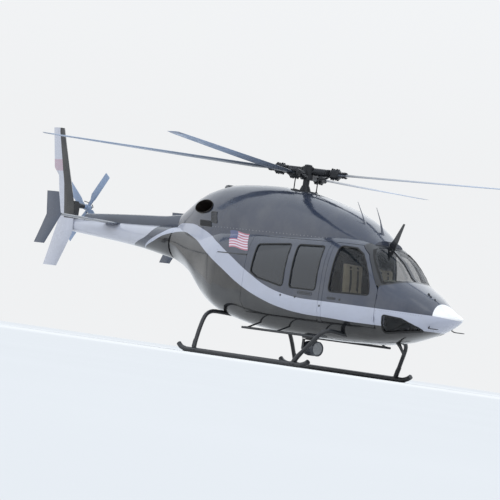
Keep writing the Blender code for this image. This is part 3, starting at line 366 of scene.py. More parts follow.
def fullness(kind, x, y, z):
    """The sum that is 1 on the skin of the body, the cowling or the boom."""
    if kind == "body":
        top, bottom, side, widest, upper, lower = station(kind, x)
        power, reach = (upper, top - widest) if z >= widest else (lower, widest - bottom)
        return (abs(y) / max(side, 0.004)) ** power + (abs(z - widest) / max(reach, 0.01)) ** power
    if kind == "cowl":
        top, side = station(kind, x)
        rise = max(z - COWL_BASE, 0.0) / max(top - COWL_BASE, 0.02)
        return (abs(y) / max(side, 0.02)) ** COWL_POWER + rise ** COWL_POWER
    centre, radius = station(kind, x)
    return sqrt(y * y + (z - centre) ** 2) / radius


def facing(kind, point):
    """Outward direction of the skin nearest a point given in the frame's coordinates."""
    x, y, z = point[0] - MAST.x, point[1], point[2]
    wide, fine = 0.02, 0.0015
    grow = Vector(((fullness(kind, x + wide, y, z) - fullness(kind, x - wide, y, z)) / (2 * wide),
                   (fullness(kind, x, y + fine, z) - fullness(kind, x, y - fine, z)) / (2 * fine),
                   (fullness(kind, x, y, z + fine) - fullness(kind, x, y, z - fine)) / (2 * fine)))
    return grow.normalized() if grow.length > 1e-6 else Vector((0, 0, 1))


def skin_y(x, z):
    """Half width of the body at a place in side view, measured from the mast."""
    top, bottom, side, widest, upper, lower = station("body", x)
    power, reach = (upper, top - widest) if z >= widest else (lower, widest - bottom)
    level = min(abs(z - widest) / reach, 0.999)
    return side * (1 - level ** power) ** (1 / power)


print("the door's skin faces", [round(v, 2) for v in facing("body", (MAST.x + 1, -0.81, 1.6))])

# %% [markdown]
# ## Livery
# On the real machine the stripes are masked and sprayed over the slate base before the clear coat. The
# masks could be painted by hand on an unwrapped skin, but here each edge is a smooth curve along the
# machine, so one paint serves every panel, and stripes run across doors and seams without a break.

# %% Livery edges
SLATE = rgb(44, 52, 70)
DEEP = rgb(14, 16, 20)
STRIPE = rgb(170, 175, 191)
BOOM_GREY = rgb(181, 184, 196)
WHITE = rgb(238, 239, 241)
FLAG_RED = rgb(176, 96, 116)
FLAG_WHITE = rgb(206, 200, 212)
FLAG_BLUE = rgb(74, 84, 122)
STRIPE_TOP = [(-4.50, 1.55), (-4.07, 1.861), (-3.566, 2.125), (-3.22, 2.30), (-2.90, 2.355), (-2.53, 2.355),
              (-2.12, 2.29), (-1.55, 2.104), (-0.876, 1.827), (-0.225, 1.534), (0.248, 1.36), (0.69, 1.265),
              (1.223, 1.215), (1.93, 1.213), (2.58, 1.21), (3.38, 1.206), (4.06, 1.205), (4.42, 1.18)]
STRIPE_BOTTOM = [(-4.50, 1.55), (-4.09, 1.835), (-3.747, 1.962), (-3.33, 2.130), (-2.856, 2.195),
                 (-2.50, 2.140), (-1.703, 1.847), (-1.112, 1.600), (-0.432, 1.306), (0.159, 1.120),
                 (0.721, 1.005), (1.223, 0.953), (1.93, 0.937), (2.583, 0.919), (3.055, 0.921),
                 (3.60, 0.925), (4.42, 0.95)]
BAND_EDGE = [(-4.90, 1.62), (-4.60, 1.80), (-4.52, 1.843), (-4.25, 1.945), (-4.02, 2.03), (-3.87, 2.17),
             (-3.78, 2.31), (-3.70, 2.50)]
FLAG_CORNER = (-0.998, 1.975)
FLAG_SIZE = (0.545, 0.305)
FLAG_LEAN = 0.55
LIVERY_START, LIVERY_LENGTH, LIVERY_HEIGHT = -5.0, 10.0, 3.0


def edge_curve(tree, x, points):
    """Height of a livery edge at x, as a curve node through the given points."""
    node = tree.nodes.new("ShaderNodeFloatCurve")
    curve = node.mapping.curves[0]
    spots = [((px - LIVERY_START) / LIVERY_LENGTH, pz / LIVERY_HEIGHT) for px, pz in points]
    curve.points[0].location = spots[0]
    curve.points[1].location = spots[-1]
    for spot in spots[1:-1]:
        curve.points.new(*spot)
    for point in curve.points:
        point.handle_type = "AUTO_CLAMPED"
    node.mapping.update()
    position = math(tree, "DIVIDE", math(tree, "SUBTRACT", x, LIVERY_START), LIVERY_LENGTH)
    tree.links.new(position, node.inputs["Value"])
    return math(tree, "MULTIPLY", node.outputs[0], LIVERY_HEIGHT)


def flag_colour(tree, x, z, side):
    """Mask and colour of the plain striped patch behind the cabin windows."""
    slid = math(tree, "ADD", x, math(tree, "MULTIPLY", math(tree, "SUBTRACT", z, FLAG_CORNER[1]), FLAG_LEAN))
    wave = math(tree, "MULTIPLY", math(tree, "SINE", math(tree, "MULTIPLY", slid, 9.0)), 0.022)
    level = math(tree, "ADD", z, wave)
    bars = math(tree, "SINE", math(tree, "MULTIPLY", math(tree, "SUBTRACT", level, FLAG_CORNER[1]),
                                   2 * pi * 6.5 / FLAG_SIZE[1]))
    colour = blend(tree, above(tree, bars, 0.0, 0.25), FLAG_WHITE, FLAG_RED)
    corner = both(tree, above(tree, level, FLAG_CORNER[1] + 0.52 * FLAG_SIZE[1]),
                  math(tree, "SUBTRACT", 1.0, above(tree, slid, FLAG_CORNER[0] + 0.42 * FLAG_SIZE[0])))
    colour = blend(tree, corner, colour, FLAG_BLUE)
    mask = both(tree, between(tree, slid, FLAG_CORNER[0], FLAG_CORNER[0] + FLAG_SIZE[0]),
                between(tree, level, FLAG_CORNER[1], FLAG_CORNER[1] + FLAG_SIZE[1]),
                above(tree, side, 0.3))
    return mask, colour


def livery_colour(tree):
    """Slate above, a pale stripe, near-black below, a pale boom and a white nose cap."""
    coordinates, x, y, z = place(tree)
    side = math(tree, "ABSOLUTE", y)
    stripe_top = edge_curve(tree, x, STRIPE_TOP)
    stripe_bottom = edge_curve(tree, x, STRIPE_BOTTOM)
    band = edge_curve(tree, x, BAND_EDGE)
    colour = blend(tree, above(tree, z, stripe_bottom), DEEP, STRIPE)
    colour = blend(tree, above(tree, z, stripe_top), colour, SLATE)
    behind = math(tree, "SUBTRACT", 1.0, above(tree, x, -3.70))
    past = math(tree, "SUBTRACT", 1.0, above(tree, x, -4.62))
    boom = math(tree, "MAXIMUM", both(tree, behind, above(tree, z, band)), past)
    colour = blend(tree, boom, colour, BOOM_GREY)
    cap_start = math(tree, "ADD", 3.955, math(tree, "MULTIPLY", math(tree, "POWER", side, 2.0), 0.9))
    cap = both(tree, above(tree, x, cap_start), above(tree, z, stripe_top))
    colour = blend(tree, cap, colour, WHITE)
    mask, flag = flag_colour(tree, x, z, side)
    return coordinates, blend(tree, mask, colour, flag)


def gloss(tree, shader, coordinates, low=0.14, high=0.26):
    """Clear-coated paint: a sheen that varies a little, over skin that is not perfectly fair."""
    feed(tree, shader.inputs["Roughness"], spread(tree, noise(tree, coordinates, 7.0, 4.0), low, high))
    shader.inputs["Coat Weight"].default_value = 0.7
    shader.inputs["Coat Roughness"].default_value = 0.05
    wave = noise(tree, coordinates, 1.7, 1.0)
    peel = math(tree, "MULTIPLY", noise(tree, coordinates, 420.0, 1.0), 0.01)
    relief(tree, shader, math(tree, "ADD", wave, peel), 0.012, 0.35)


def dusted(tree, coordinates, colour, dust=(0.23, 0.22, 0.19, 1.0), amount=0.10):
    """Colour under a thin uneven film of dust."""
    film = noise(tree, coordinates, 2.3, 6.0, 0.62)
    mask = math(tree, "MULTIPLY", math(tree, "SUBTRACT", film, 0.42, clamp=True), amount * 4)
    return blend(tree, mask, colour, dust)


def make_livery():
    """The one paint that all outer panels share."""
    material, tree, shader = new_material("livery_paint")
    coordinates, colour = livery_colour(tree)
    tree.links.new(dusted(tree, coordinates, colour), shader.inputs["Base Color"])
    gloss(tree, shader, coordinates)
    return material


livery = make_livery()
print("livery nodes:", len(livery.node_tree.nodes))

# %% [markdown]
# ## The other finishes
# The rest of the machine needs few finishes: satin black on the gear and hub, blue-grey on the blades,
# bare and heat-stained metal, two glasses, rubber, moulded plastic and woven cloth. Each gets the small
# changes in sheen and colour that keep a surface from looking like a single flat tone.

# %% Finishes
def plain_finish(name, light, dark, roughness, metallic=0.0, scale=14.0, bump=0.0006, coat=0.0):
    """A finish whose colour wanders between two tones, with a fine grain."""
    material, tree, shader = new_material(name)
    coordinates = tree.nodes.new("ShaderNodeTexCoord").outputs["Object"]
    mottle = noise(tree, coordinates, scale, 5.0, 0.6)
    tree.links.new(blend(tree, mottle, dark, light), shader.inputs["Base Color"])
    fine = noise(tree, coordinates, scale * 9, 3.0)
    feed(tree, shader.inputs["Roughness"], spread(tree, fine, roughness * 0.8, min(roughness * 1.25, 1.0)))
    shader.inputs["Metallic"].default_value = metallic
    shader.inputs["Coat Weight"].default_value = coat
    shader.inputs["Coat Roughness"].default_value = 0.08
    relief(tree, shader, fine, bump, 0.5)
    return material


satin_black = plain_finish("satin_black", rgb(34, 37, 42), rgb(22, 24, 28), 0.42, coat=0.25)
hub_metal = plain_finish("hub_dark_metal", rgb(52, 54, 58), rgb(26, 27, 30), 0.38, 0.55, 22.0)
bright_steel = plain_finish("bright_steel", rgb(178, 180, 184), rgb(140, 142, 148), 0.28, 0.95, 30.0)
cast_metal = plain_finish("cast_aluminium", rgb(150, 152, 155), rgb(116, 118, 120), 0.5, 0.8, 40.0, 0.0012)
burnt_metal = plain_finish("burnt_metal", rgb(64, 58, 54), rgb(20, 19, 20), 0.55, 0.7, 9.0)
rubber = plain_finish("black_rubber", rgb(22, 23, 25), rgb(14, 15, 16), 0.62, 0.0, 60.0)
dark_trim = plain_finish("dark_trim", rgb(30, 33, 39), rgb(20, 22, 27), 0.35, 0.0, 18.0, 0.0004, 0.4)
tail_slate = plain_finish("tail_slate", rgb(74, 82, 98), rgb(58, 65, 80), 0.25, 0.0, 3.0, 0.0004, 0.6)
cover_slate = plain_finish("cover_slate", rgb(62, 70, 86), rgb(50, 57, 71), 0.24, 0.0, 3.0, 0.0004, 0.6)
pale_plastic = plain_finish("pale_plastic", rgb(150, 152, 138), rgb(126, 128, 114), 0.7, 0.0, 90.0, 0.0006)
panel_black = plain_finish("panel_black", rgb(40, 42, 44), rgb(26, 27, 29), 0.6, 0.0, 120.0, 0.0004)
lamp_grey = plain_finish("lamp_grey", rgb(74, 80, 90), rgb(56, 60, 69), 0.35, 0.2, 18.0, 0.0004, 0.3)
cabin_lining = plain_finish("cabin_lining", rgb(50, 51, 52), rgb(38, 39, 41), 0.88, 0.0, 110.0, 0.0008)


def make_blade_paint():
    """Blade paint: dark and oily by the hub, pale blue-grey outside, with a worn tip."""
    material, tree, shader = new_material("blade_paint")
    coordinates, x, y, z = place(tree)
    reach = math(tree, "SQRT", math(tree, "ADD", math(tree, "MULTIPLY", x, x), math(tree, "MULTIPLY", y, y)))
    streaks = noise(tree, coordinates, 5.0, 6.0, 0.6, (1, 1, 6))
    outside = blend(tree, streaks, rgb(126, 144, 172), rgb(150, 168, 194))
    outward = math(tree, "DIVIDE", math(tree, "SUBTRACT", reach, 0.9), 2.6, clamp=True)
    colour = blend(tree, outward, rgb(58, 64, 74), outside)
    worn_tip = both(tree, between(tree, reach, 5.30, 5.50), above(tree, streaks, 0.35, 0.2))
    colour = blend(tree, worn_tip, colour, rgb(112, 124, 146))
    tree.links.new(colour, shader.inputs["Base Color"])
    feed(tree, shader.inputs["Roughness"], spread(tree, streaks, 0.32, 0.52))
    shader.inputs["Coat Weight"].default_value = 0.2
    return material


def make_fin_paint():
    """Fin with a dark front and a pale rear, split along a line that follows the fin's sweep."""
    material, tree, shader = new_material("fin_paint")
    coordinates, x, y, z = place(tree)
    low = math(tree, "SUBTRACT", math(tree, "MULTIPLY", math(tree, "SUBTRACT", z, 2.20), -0.20), 6.64)
    lean = math(tree, "MULTIPLY", math(tree, "SUBTRACT", z, 2.90, clamp=True), -0.16)
    front = both(tree, above(tree, x, math(tree, "ADD", low, lean)), above(tree, z, 2.235))
    colour = blend(tree, front, BOOM_GREY, DEEP)
    slanted = math(tree, "ADD", z, math(tree, "MULTIPLY", x, 0.5))
    bars = math(tree, "SINE", math(tree, "MULTIPLY", slanted, 180.0))
    patch = both(tree, between(tree, z, 3.14, 3.36), math(tree, "SUBTRACT", 1.0, front))
    colour = blend(tree, both(tree, patch, above(tree, bars, 0.0, 0.3)), colour, rgb(168, 110, 128))
    tree.links.new(dusted(tree, coordinates, colour), shader.inputs["Base Color"])
    gloss(tree, shader, coordinates, 0.2, 0.34)
    return material


def make_glass(name, tint, clear, roughness=0.03):
    """Thin acrylic pane: most light goes straight through, and the rest shows its tint and gloss."""
    material, tree, shader = new_material(name)
    coordinates = tree.nodes.new("ShaderNodeTexCoord").outputs["Object"]
    smear = noise(tree, coordinates, 3.0, 5.0, 0.6, (1, 1, 3))
    feed(tree, shader.inputs["Roughness"], spread(tree, smear, roughness, roughness + 0.05))
    shader.inputs["Base Color"].default_value = tint
    shader.inputs["IOR"].default_value = 1.49
    shader.inputs["Coat Weight"].default_value = 0.5
    shader.inputs["Alpha"].default_value = 1.0 - clear
    return material


def make_lens():
    """Lamp glass: pale, glossy and slightly ringed."""
    material, tree, shader = new_material("lens_glass")
    coordinates = tree.nodes.new("ShaderNodeTexCoord").outputs["Object"]
    tint = blend(tree, noise(tree, coordinates, 40.0, 2.0), rgb(120, 126, 134), rgb(160, 166, 172))
    tree.links.new(tint, shader.inputs["Base Color"])
    shader.inputs["Roughness"].default_value = 0.08
    shader.inputs["Coat Weight"].default_value = 1.0
    return material


def make_cloth(name, light, dark):
    """Woven upholstery: crossed threads from two fine waves, with a soft sheen."""
    material, tree, shader = new_material(name)
    coordinates = tree.nodes.new("ShaderNodeTexCoord").outputs["Object"]
    split = tree.nodes.new("ShaderNodeSeparateXYZ")
    tree.links.new(coordinates, split.inputs[0])
    lengthwise = math(tree, "ADD", split.outputs[0], split.outputs[2])
    warp = math(tree, "SINE", math(tree, "MULTIPLY", lengthwise, 1900))
    weft = math(tree, "SINE", math(tree, "MULTIPLY", split.outputs[1], 1900))
    weave = math(tree, "MULTIPLY", math(tree, "ADD", math(tree, "MULTIPLY", warp, weft), 1.0), 0.5)
    worn = math(tree, "ADD", math(tree, "MULTIPLY", weave, 0.4),
                math(tree, "MULTIPLY", noise(tree, coordinates, 9.0, 4.0), 0.6))
    tree.links.new(blend(tree, worn, dark, light), shader.inputs["Base Color"])
    shader.inputs["Roughness"].default_value = 0.9
    shader.inputs["Sheen Weight"].default_value = 0.35
    relief(tree, shader, weave, 0.0008, 0.8)
    return material


blade_paint = make_blade_paint()
fin_paint = make_fin_paint()
clear_glass = make_glass("clear_acrylic", rgb(24, 28, 32), 0.72)
# The cabin windows let only a tenth of the light through. This is partly their real dark tint and partly
# painted shade: a dark sheet standing in for the dim cabin behind them.
tinted_glass_and_painted_shade = make_glass("tinted_acrylic_and_painted_shade", rgb(34, 40, 48), 0.10, 0.05)
lens_glass = make_lens()
screen_glass = plain_finish("screen_glass", rgb(14, 18, 22), rgb(8, 10, 12), 0.12, 0.0, 6.0, 0.0001, 0.8)
seat_cloth = make_cloth("seat_cloth_beige", rgb(186, 178, 156), rgb(150, 142, 120))
bench_cloth = make_cloth("bench_cloth_grey", rgb(92, 96, 102), rgb(66, 70, 76))
print("finishes:", len(bpy.data.materials))

# %% [markdown]
# ## Skins
# The panels keep the solids' exact shape. Each is copied, its corners are merged, and at each corner it
# is told which way the true curved skin faces. Edges and inner corners keep their own crisp directions.
# The copy then stands for the solid, so the paint reflects the lamps as one fair surface.

# %% Skin panels
SAME_SKIN = cos(radians(28))
SAME_FACET = cos(radians(34))
LINING = -0.25


def corner_direction(point, kind, face, neighbours):
    """The way the surface faces at one corner of a face."""
    if kind:
        outward = facing(kind, point)
        match = outward.dot(face.normal)
        if abs(match) > SAME_SKIN:
            return outward if match > 0 else -outward
    total = Vector()
    for other in neighbours:
        if other.normal.dot(face.normal) > SAME_FACET:
            total += other.normal * other.area
    return total.normalized() if total.length > 1e-12 else face.normal.copy()


def dress(node, kind, material):
    """A copy of a solid with merged corners and true surface directions, which stands for the solid."""
    source = frame["nodes"][node]
    bm = bmesh.new()
    bm.from_mesh(source.data)
    bmesh.ops.remove_doubles(bm, verts=bm.verts, dist=0.00002)
    mesh = bpy.data.meshes.new(node + "_skin")
    bm.to_mesh(mesh)
    bm.free()
    for attribute in [a for a in mesh.attributes if a.name == "custom_normal"]:
        mesh.attributes.remove(attribute)
    mesh.shade_smooth()
    touching = [[] for _ in mesh.vertices]
    for face in mesh.polygons:
        for index in face.vertices:
            touching[index].append(face)
    directions = []
    for face in mesh.polygons:
        for index in face.vertices:
            directions.append(corner_direction(mesh.vertices[index].co, kind, face, touching[index]))
    mesh.normals_split_custom_set(directions)
    mesh.materials.clear()
    mesh.materials.append(material)
    if material == livery and kind == "body":
        mesh.materials.append(cabin_lining)
        for face in mesh.polygons:
            face.material_index = int(facing(kind, face.center).dot(face.normal) < LINING)
    piece = bpy.data.objects.new(node + "_skin", mesh)
    bpy.context.scene.collection.objects.link(piece)
    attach(piece, source["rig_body"])
    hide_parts(node)
    return piece


def sides(name):
    """A left and a right name."""
    return [name + "_left", name + "_right"]


for node in ["aft_fuselage", "cabin_roof", "lower_hull", "nose_cone", "nose_shell", *sides("side_frame"),
             *sides("sliding_door"), *sides("crew_door")]:
    dress(node, "body", livery)
for node in ["engine_cowling", "mast_cowling", "front_fairing"]:
    dress(node, "cowl", livery)
dress("tail_boom", "boom", livery)
dress("windshield_frame", "body", dark_trim)
for node in [*sides("windshield"), *sides("crew_window"), *sides("chin_window")]:
    dress(node, "body", clear_glass)
# Cabin windows: real tint together with painted shade of the cabin behind them.
for node in [*sides("cabin_window_front"), *sides("cabin_window_rear")]:
    dress(node, "body", tinted_glass_and_painted_shade)

# %% [markdown]
# ## Solids that stay
# Tubes, blades, the hub and other solids already have the right shape. They stay as they are and only
# get a finish, and a small chain of geometry nodes that merges their corners and rounds the shading
# over shallow edges.

# %% Kept solids
def make_smoother():
    """Geometry nodes that merge corners and keep only steep edges sharp."""
    group = bpy.data.node_groups.new("round_shading", "GeometryNodeTree")
    group.interface.new_socket("Geometry", in_out="INPUT", socket_type="NodeSocketGeometry")
    group.interface.new_socket("Geometry", in_out="OUTPUT", socket_type="NodeSocketGeometry")
    start = group.nodes.new("NodeGroupInput")
    forget = group.nodes.new("GeometryNodeRemoveAttribute")
    forget.inputs["Name"].default_value = "custom_normal"
    merge = group.nodes.new("GeometryNodeMergeByDistance")
    merge.inputs["Distance"].default_value = 0.00002
    smooth = group.nodes.new("GeometryNodeSetShadeSmooth")
    angle = group.nodes.new("GeometryNodeInputMeshEdgeAngle")
    steep = group.nodes.new("ShaderNodeMath")
    steep.operation = "GREATER_THAN"
    steep.inputs[1].default_value = radians(38)
    sharp = group.nodes.new("GeometryNodeSetShadeSmooth")
    sharp.domain = "EDGE"
    sharp.inputs["Shade Smooth"].default_value = False
    end = group.nodes.new("NodeGroupOutput")
    link = group.links.new
    link(start.outputs[0], forget.inputs["Geometry"])
    link(forget.outputs["Geometry"], merge.inputs["Geometry"])
    link(merge.outputs["Geometry"], smooth.inputs["Geometry"])
    link(angle.outputs["Unsigned Angle"], steep.inputs[0])
    link(smooth.outputs["Geometry"], sharp.inputs["Geometry"])
    link(steep.outputs[0], sharp.inputs["Selection"])
    link(sharp.outputs["Geometry"], end.inputs[0])
    return group


smoother = make_smoother()


def keep(node, material):
    """Gives a solid its finish and rounded shading."""
    solid = frame["nodes"][node]
    solid.data.materials.clear()
    solid.data.materials.append(material)
    step = solid.modifiers.new("round_shading", "NODES")
    step.node_group = smoother
    return solid


for node in ["cross_tube_front", "cross_tube_rear", *sides("skid"), *sides("step"), "light_mount",
             "light_yoke", "beacon", "tail_gearbox"]:
    keep(node, satin_black)
for node in ["rotor_hub", "rotor_mast"]:
    keep(node, hub_metal)
for node in ["main_blade_1", "main_blade_2", "main_blade_3", "main_blade_4", "tail_rotor_inner",
             "tail_rotor_outer"]:
    keep(node, blade_paint)
for node in ["stabiliser", *sides("finlet")]:
    keep(node, tail_slate)
for node in [*sides("engine"), "main_gearbox"]:
    keep(node, cast_metal)
for node in sides("exhaust"):
    keep(node, burnt_metal)
keep("driveshaft_cover", cover_slate)
keep("vertical_fin", fin_paint)
keep("searchlight", lamp_grey)
keep("instrument_panel", panel_black)
print("kept solids:", len([o for o in frame["nodes"].values() if not o.hide_render]))

# %% [markdown]
# ## Tools for the small fittings
# Seals, bolts, seats and lamps are made from five plain ways of shaping: a turned shape, a softened
# block, a thick plate, a swept tube and a ribbon that follows the skin. Each could be drawn by hand in
# edit mode. Here they are short functions, so a hundred bolts cost no more work than one.

# %% Shape helpers
def join_rings(bm, rings, closed=False):
    """Faces from each ring of points to the next; an open run gets end caps."""
    rows = [[bm.verts.new(point) for point in ring] for ring in rings]
    following = rows[1:] + (rows[:1] if closed else [])
    for low, high in zip(rows, following):
        for i in range(len(low)):
            j = (i + 1) % len(low)
            bm.faces.new((low[i], low[j], high[j], high[i]))
    if not closed:
        bm.faces.new(rows[0][::-1])
        bm.faces.new(rows[-1])


def turned(profile, sides=24):
    """Points of (radius, height) spun about the upright axis."""
    bm = bmesh.new()
    join_rings(bm, [[(r * cos(2 * pi * k / sides), r * sin(2 * pi * k / sides), h) for k in range(sides)]
                    for r, h in profile])
    return bm


def block(low, high, round_off=0.003):
    """A box with softened edges, from its lowest to its highest corner."""
    bm = bmesh.new()
    bmesh.ops.create_cube(bm, size=1.0)
    for vert in bm.verts:
        vert.co = Vector([low[i] + (high[i] - low[i]) * (vert.co[i] + 0.5) for i in range(3)])
    bmesh.ops.bevel(bm, geom=list(bm.edges), offset=round_off, segments=2, profile=0.5, affect="EDGES")
    return bm


def plate(outline, y_from, y_to, round_off=0.003):
    """An outline in side view made thick across the machine, with softened edges."""
    bm = bmesh.new()
    face = bm.faces.new([bm.verts.new((x, y_from, z)) for x, z in outline])
    made = bmesh.ops.extrude_face_region(bm, geom=[face])["geom"]
    far = [item for item in made if isinstance(item, bmesh.types.BMVert)]
    bmesh.ops.translate(bm, vec=(0, y_to - y_from, 0), verts=far)
    bmesh.ops.recalc_face_normals(bm, faces=bm.faces)
    bmesh.ops.bevel(bm, geom=list(bm.edges), offset=round_off, segments=2, profile=0.5, affect="EDGES")
    return bm


def swept(path, radii, sides=10):
    """A round tube through the points, with its own radius at each."""
    path = [Vector(point) for point in path]
    up = Vector((0, 0, 1))
    rings = []
    for i, spot in enumerate(path):
        ahead = (path[min(i + 1, len(path) - 1)] - path[max(i - 1, 0)]).normalized()
        if abs(ahead.dot(up)) > 0.95:
            up = Vector((1, 0, 0))
        across = ahead.cross(up).normalized()
        up = across.cross(ahead).normalized()
        rings.append([spot + (across * cos(2 * pi * k / sides) + up * sin(2 * pi * k / sides)) * radii[i]
                      for k in range(sides)])
    bm = bmesh.new()
    join_rings(bm, rings)
    return bm


def add(bm, part, matrix=None):
    """Puts one shape into another."""
    if matrix is not None:
        bmesh.ops.transform(part, matrix=matrix, verts=part.verts)
    carrier = bpy.data.meshes.new("carrier")
    part.to_mesh(carrier)
    part.free()
    bm.from_mesh(carrier)
    bpy.data.meshes.remove(carrier)


def aimed(spot, axis):
    """A place and a turn that stand a turned shape on a spot, pointing along axis."""
    return Matrix.Translation(Vector(spot)) @ Vector(axis).to_track_quat("Z", "Y").to_matrix().to_4x4()


def fitting(name, bm, material, node, from_mast=True, crease=35):
    """Makes a shape a named piece that moves with the solid it is fixed to."""
    bmesh.ops.recalc_face_normals(bm, faces=bm.faces)
    if from_mast:
        bmesh.ops.translate(bm, vec=MAST, verts=bm.verts)
    mesh = bpy.data.meshes.new(name)
    bm.to_mesh(mesh)
    bm.free()
    mesh.shade_smooth()
    mesh.set_sharp_from_angle(angle=radians(crease))
    mesh.materials.append(material)
    piece = bpy.data.objects.new(name, mesh)
    bpy.context.scene.collection.objects.link(piece)
    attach(piece, frame["nodes"][node]["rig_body"])
    return piece


def rounded(corners, radius, spacing=0.07):
    """A closed outline with rounded corners, and points along its straight runs as well."""
    points = []
    count = len(corners)
    for i, corner in enumerate(corners):
        here = Vector(corner)
        back = Vector(corners[i - 1]) - here
        ahead = Vector(corners[(i + 1) % count]) - here
        opening = back.angle(ahead)
        trim = min(radius / tan(opening / 2), back.length * 0.45, ahead.length * 0.45)
        start, end = here + back.normalized() * trim, here + ahead.normalized() * trim
        for step in range(6):
            t = step / 5
            points.append(start * (1 - t) ** 2 + here * 2 * t * (1 - t) + end * t * t)
    result = []
    for i, point in enumerate(points):
        gap = points[(i + 1) % len(points)] - point
        pieces = max(1, int(gap.length / spacing))
        result += [tuple(point + gap * step / pieces) for step in range(pieces)]
    return [p for i, p in enumerate(result) if (Vector(p) - Vector(result[i - 1])).length > 0.002]


def spaced(start, end, count):
    """Evenly spaced points from one to the other."""
    return [tuple(a + (b - a) * i / (count - 1) for a, b in zip(start, end)) for i in range(count)]


print("a rounded window outline has", len(rounded([(0, 0), (1, 0), (1, 1), (0, 1)], 0.1)), "points")

# %% Following the skin
def cowl_y(x, z):
    """Half width of the cowling at a place in side view, measured from the mast."""
    top, side = station("cowl", x)
    level = min(max(z - COWL_BASE, 0.0) / (top - COWL_BASE), 0.999)
    return side * (1 - level ** COWL_POWER) ** (1 / COWL_POWER)


def on_skin(kind, x, z, side, lift=0.0):
    """A point on the body or the cowling, or just off it, measured from the mast."""
    y = skin_y(x, z) if kind == "body" else cowl_y(x, z)
    outward = facing(kind, (MAST.x + x, side * y, z))
    return Vector((x, side * y, z)) + outward * lift


def ribbon(outline, side, width, proud, sunk=0.014, kind="body", closed=True):
    """A flat band that follows an outline over the skin, rooted deeper than the skin's flat facets."""
    rings = []
    last = len(outline) - 1
    for i, (x, z) in enumerate(outline):
        before = outline[i - 1] if closed or i > 0 else outline[i]
        after = outline[(i + 1) % len(outline)] if closed or i < last else outline[i]
        run = Vector((after[0] - before[0], after[1] - before[1])).normalized()
        section = [(-1, -sunk), (-1, proud * 0.5), (-0.7, proud), (0.7, proud), (1, proud * 0.5), (1, -sunk)]
        rings.append([on_skin(kind, x - run.y * width / 2 * reach, z + run.x * width / 2 * reach, side, lift)
                      for reach, lift in section])
    bm = bmesh.new()
    join_rings(bm, rings, closed)
    return bm


def make_skin_tree():
    """The panels' real facets as one searchable surface, in the frame's coordinates."""
    points, faces = [], []
    for piece in [o for o in bpy.data.objects if o.name.endswith("_skin")]:
        first = len(points)
        points += [vert.co.copy() for vert in piece.data.vertices]
        faces += [[first + index for index in face.vertices] for face in piece.data.polygons]
    return BVHTree.FromPolygons(points, faces)


skin_tree = make_skin_tree()


def studs(spots, side, radius=0.0045, height=0.0016, kind="body", profile=None):
    """Small domes that stand on the panels' own facets, nearest to the given places in side view."""
    bm = bmesh.new()
    for x, z in spots:
        near = on_skin(kind, x, z, side) + MAST
        seat_point = skin_tree.find_nearest(near)[0]
        dome = turned(profile or [(radius, -0.002), (radius, height * 0.4), (radius * 0.55, height)], 8)
        add(bm, dome, aimed(seat_point - MAST, facing(kind, near)))
    return bm


SIDES = {"right": -1, "left": 1}
print("the cowling is", round(2 * cowl_y(-0.5, 2.6), 3), "wide at half height")

# %% [markdown]
# ## Window seals
# Each pane on the real machine sits in a black rubber seal that stands a little proud of the paint. A
# bevelled curve would do on a flat wall, but this skin curves both ways, so the seal is a ribbon whose
# every point is laid on the skin and lifted along the way the skin faces.

# %% Seals
REAR_WINDOW = [(-0.245, 1.585), (-0.06, 1.50), (0.67, 1.385), (0.67, 2.165), (-0.215, 2.095)]
FRONT_WINDOW = [(0.845, 1.385), (1.525, 1.385), (1.525, 2.185), (0.845, 2.165)]
CREW_WINDOW = [(1.855, 1.395), (2.80, 1.415), (2.76, 1.60), (2.68, 1.79), (2.57, 1.96), (2.43, 2.12),
               (2.25, 2.215), (1.88, 2.225)]
CHIN_WINDOW = [(3.08, 0.80), (3.84, 0.93), (3.66, 1.02), (3.50, 1.085), (3.14, 1.11)]
SCREEN_EDGE = [(2.50, 2.235), (2.60, 2.125), (2.71, 2.00), (2.83, 1.86), (2.93, 1.735), (2.985, 1.668),
               (3.04, 1.662), (3.12, 1.692), (3.20, 1.722)]

for name, side in SIDES.items():
    for window, outline, radius, node in (("rear", REAR_WINDOW, 0.07, "sliding_door_"),
                                          ("front", FRONT_WINDOW, 0.07, "sliding_door_"),
                                          ("crew", CREW_WINDOW, 0.08, "crew_door_"),
                                          ("chin", CHIN_WINDOW, 0.05, "nose_shell")):
        node = node if node == "nose_shell" else node + name
        fitting(f"{window}_seal_{name}", ribbon(rounded(outline, radius), side, 0.026, 0.0030),
                rubber, node)
    fitting("screen_seal_" + name, ribbon(SCREEN_EDGE, side, 0.030, 0.0030, closed=False), rubber,
            "windshield_frame")

# %% [markdown]
# ## Latches, handles, rail and rivets
# The doors show small dark latch plugs, a flush pull handle and the dark line of the sliding rail. Rows
# of flush rivets hold the skins. Rivets could be a bump pattern, but a pattern slides over a curved
# panel, and small domes that stand on the skin catch the lamps at every angle.

# %% Door fittings and rivets
LATCHES = {"sliding_door_": [(0.661, 1.233), (1.046, 1.230), (1.519, 2.091)],
           "side_frame_": [(1.690, 1.126)], "crew_door_": [(2.169, 1.275)]}
LATCH_PROFILE = [(0.021, -0.003), (0.021, 0.0022), (0.017, 0.0034), (0.012, 0.0034), (0.010, 0.0018),
                 (0.004, 0.0016)]
RAIL = spaced((-1.30, 1.876), (-0.44, 1.878), 22)
HANDLE = rounded([(1.10, 1.292), (1.46, 1.292), (1.46, 1.340), (1.10, 1.340)], 0.020)
CREW_HANDLE = rounded([(1.86, 1.262), (2.06, 1.262), (2.06, 1.298), (1.86, 1.298)], 0.014)

